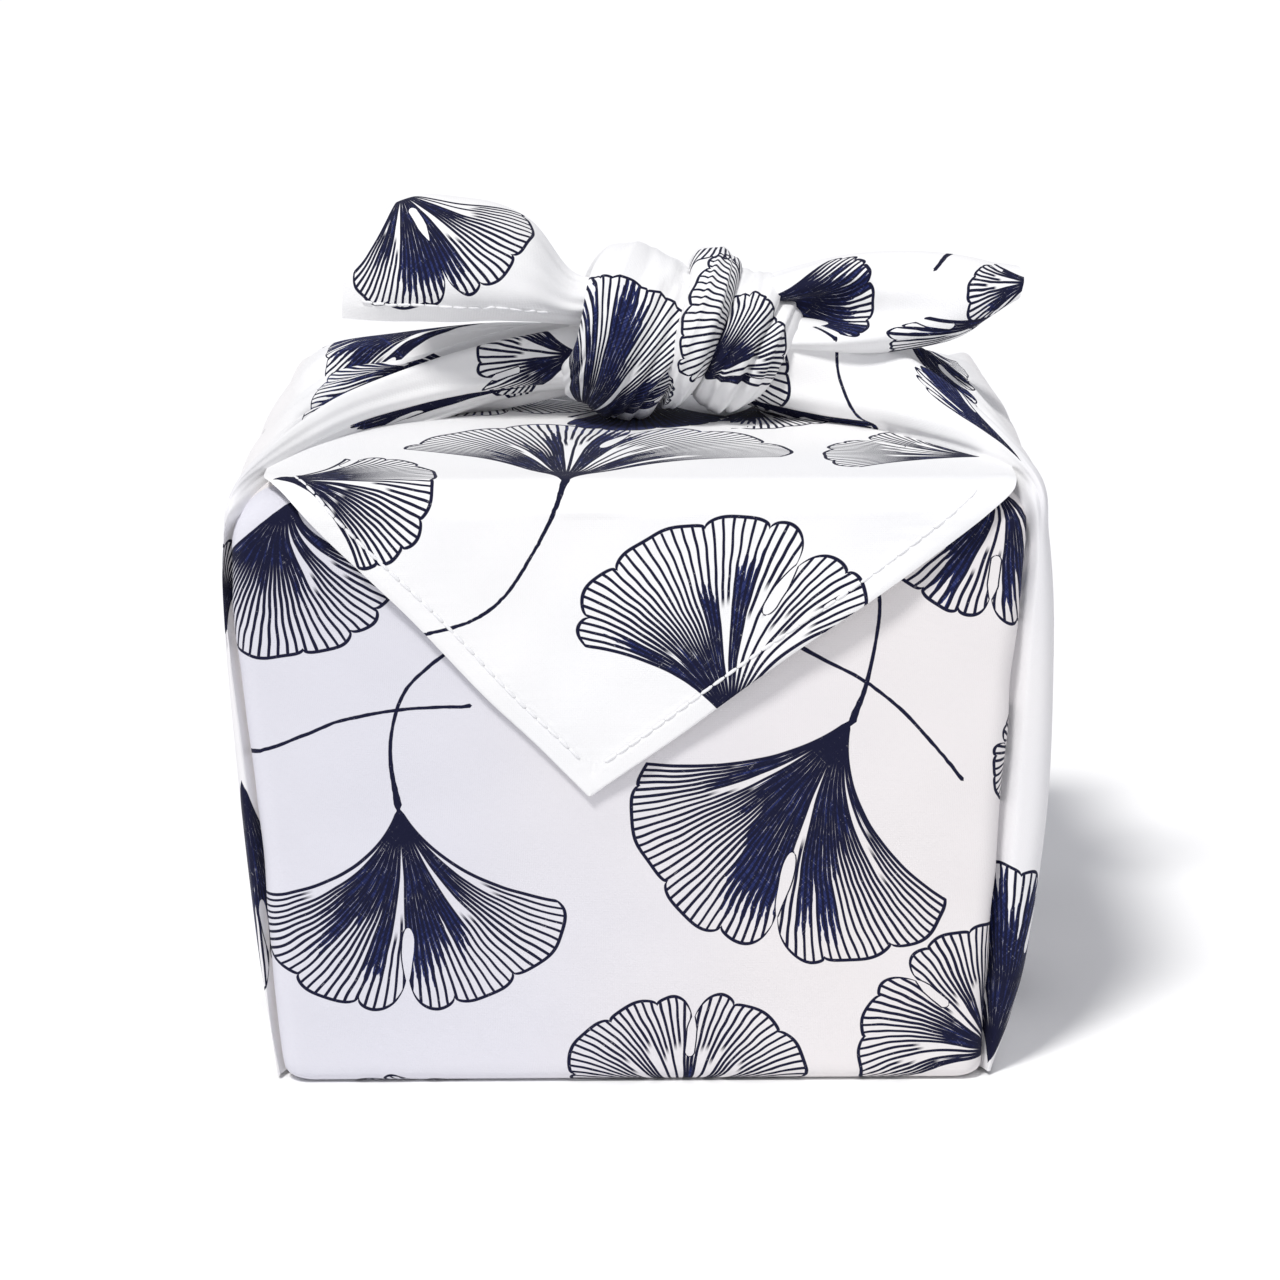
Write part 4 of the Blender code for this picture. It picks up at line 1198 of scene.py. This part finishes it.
# ---------------------------------------------------------------- floor, light, camera
def floor():
    me = bpy.data.meshes.new("floor")
    s = 14.0
    me.from_pydata([(-s, -s, 0), (s, -s, 0), (s, s, 0), (-s, s, 0)], [], [(0, 1, 2, 3)])
    ob = bpy.data.objects.new("floor", me)
    bpy.context.scene.collection.objects.link(ob)
    ob.location.z = -0.0002
    m = bpy.data.materials.new("pale floor")
    m.use_nodes = True
    t = m.node_tree
    b = t.nodes["Principled BSDF"]
    b.inputs["Base Color"].default_value = (0.96, 0.96, 0.96, 1)
    b.inputs["Roughness"].default_value = 0.9
    b.inputs["Specular IOR Level"].default_value = 0.1
    me.materials.append(m)


floor()


def lamp(name, place, target, size, power, colour=(1, 1, 1)):
    l = bpy.data.lights.new(name, "AREA")
    l.shape = "RECTANGLE"
    l.size, l.size_y = size
    l.energy = power
    l.color = colour
    ob = bpy.data.objects.new(name, l)
    bpy.context.scene.collection.objects.link(ob)
    ob.location = place
    ob.rotation_euler = (Vector(target) - Vector(place)).to_track_quat("-Z", "Y").to_euler()
    return ob


def sun(name, place, power, soft, colour):
    l = bpy.data.lights.new(name, "SUN")
    l.energy = power
    l.angle = math.radians(soft)
    l.color = colour
    ob = bpy.data.objects.new(name, l)
    bpy.context.scene.collection.objects.link(ob)
    ob.location = place
    ob.rotation_euler = (-Vector(place)).to_track_quat("-Z", "Y").to_euler()
    return ob


sun("key", (-0.26, -0.46, 0.85), 2.35, 11, (1.0, 0.992, 0.975))

w = bpy.data.worlds.new("studio")
w.use_nodes = True
w.node_tree.nodes["Background"].inputs[0].default_value = (0.93, 0.94, 1.0, 1)
w.node_tree.nodes["Background"].inputs[1].default_value = 0.50
bpy.context.scene.world = w
bpy.context.scene.view_settings.view_transform = "Standard"
bpy.context.scene.view_settings.look = "None"


def camera():
    f, dist, e, az, tx, tz, roll = 3625.0, 0.950, math.radians(14.6), math.radians(-0.3), 0.0013, 0.0887, math.radians(-0.2)
    back = Vector((math.sin(az) * math.cos(e), -math.cos(az) * math.cos(e), math.sin(e)))
    place = Vector((tx, 0, tz)) + back * dist
    right = (-back).cross(Vector((0, 0, 1))).normalized()
    up = right.cross(-back)
    r2 = right * math.cos(roll) + up * math.sin(roll)
    u2 = up * math.cos(roll) - right * math.sin(roll)
    cam = bpy.data.cameras.new("camera")
    cam.sensor_width = 36
    cam.lens = f / 1280 * 36
    cam.clip_start = 0.01
    ob = bpy.data.objects.new("camera", cam)
    bpy.context.scene.collection.objects.link(ob)
    ob.matrix_world = Matrix(((r2.x, u2.x, back.x, place.x), (r2.y, u2.y, back.y, place.y),
                              (r2.z, u2.z, back.z, place.z), (0, 0, 0, 1)))
    bpy.context.scene.camera = ob


camera()
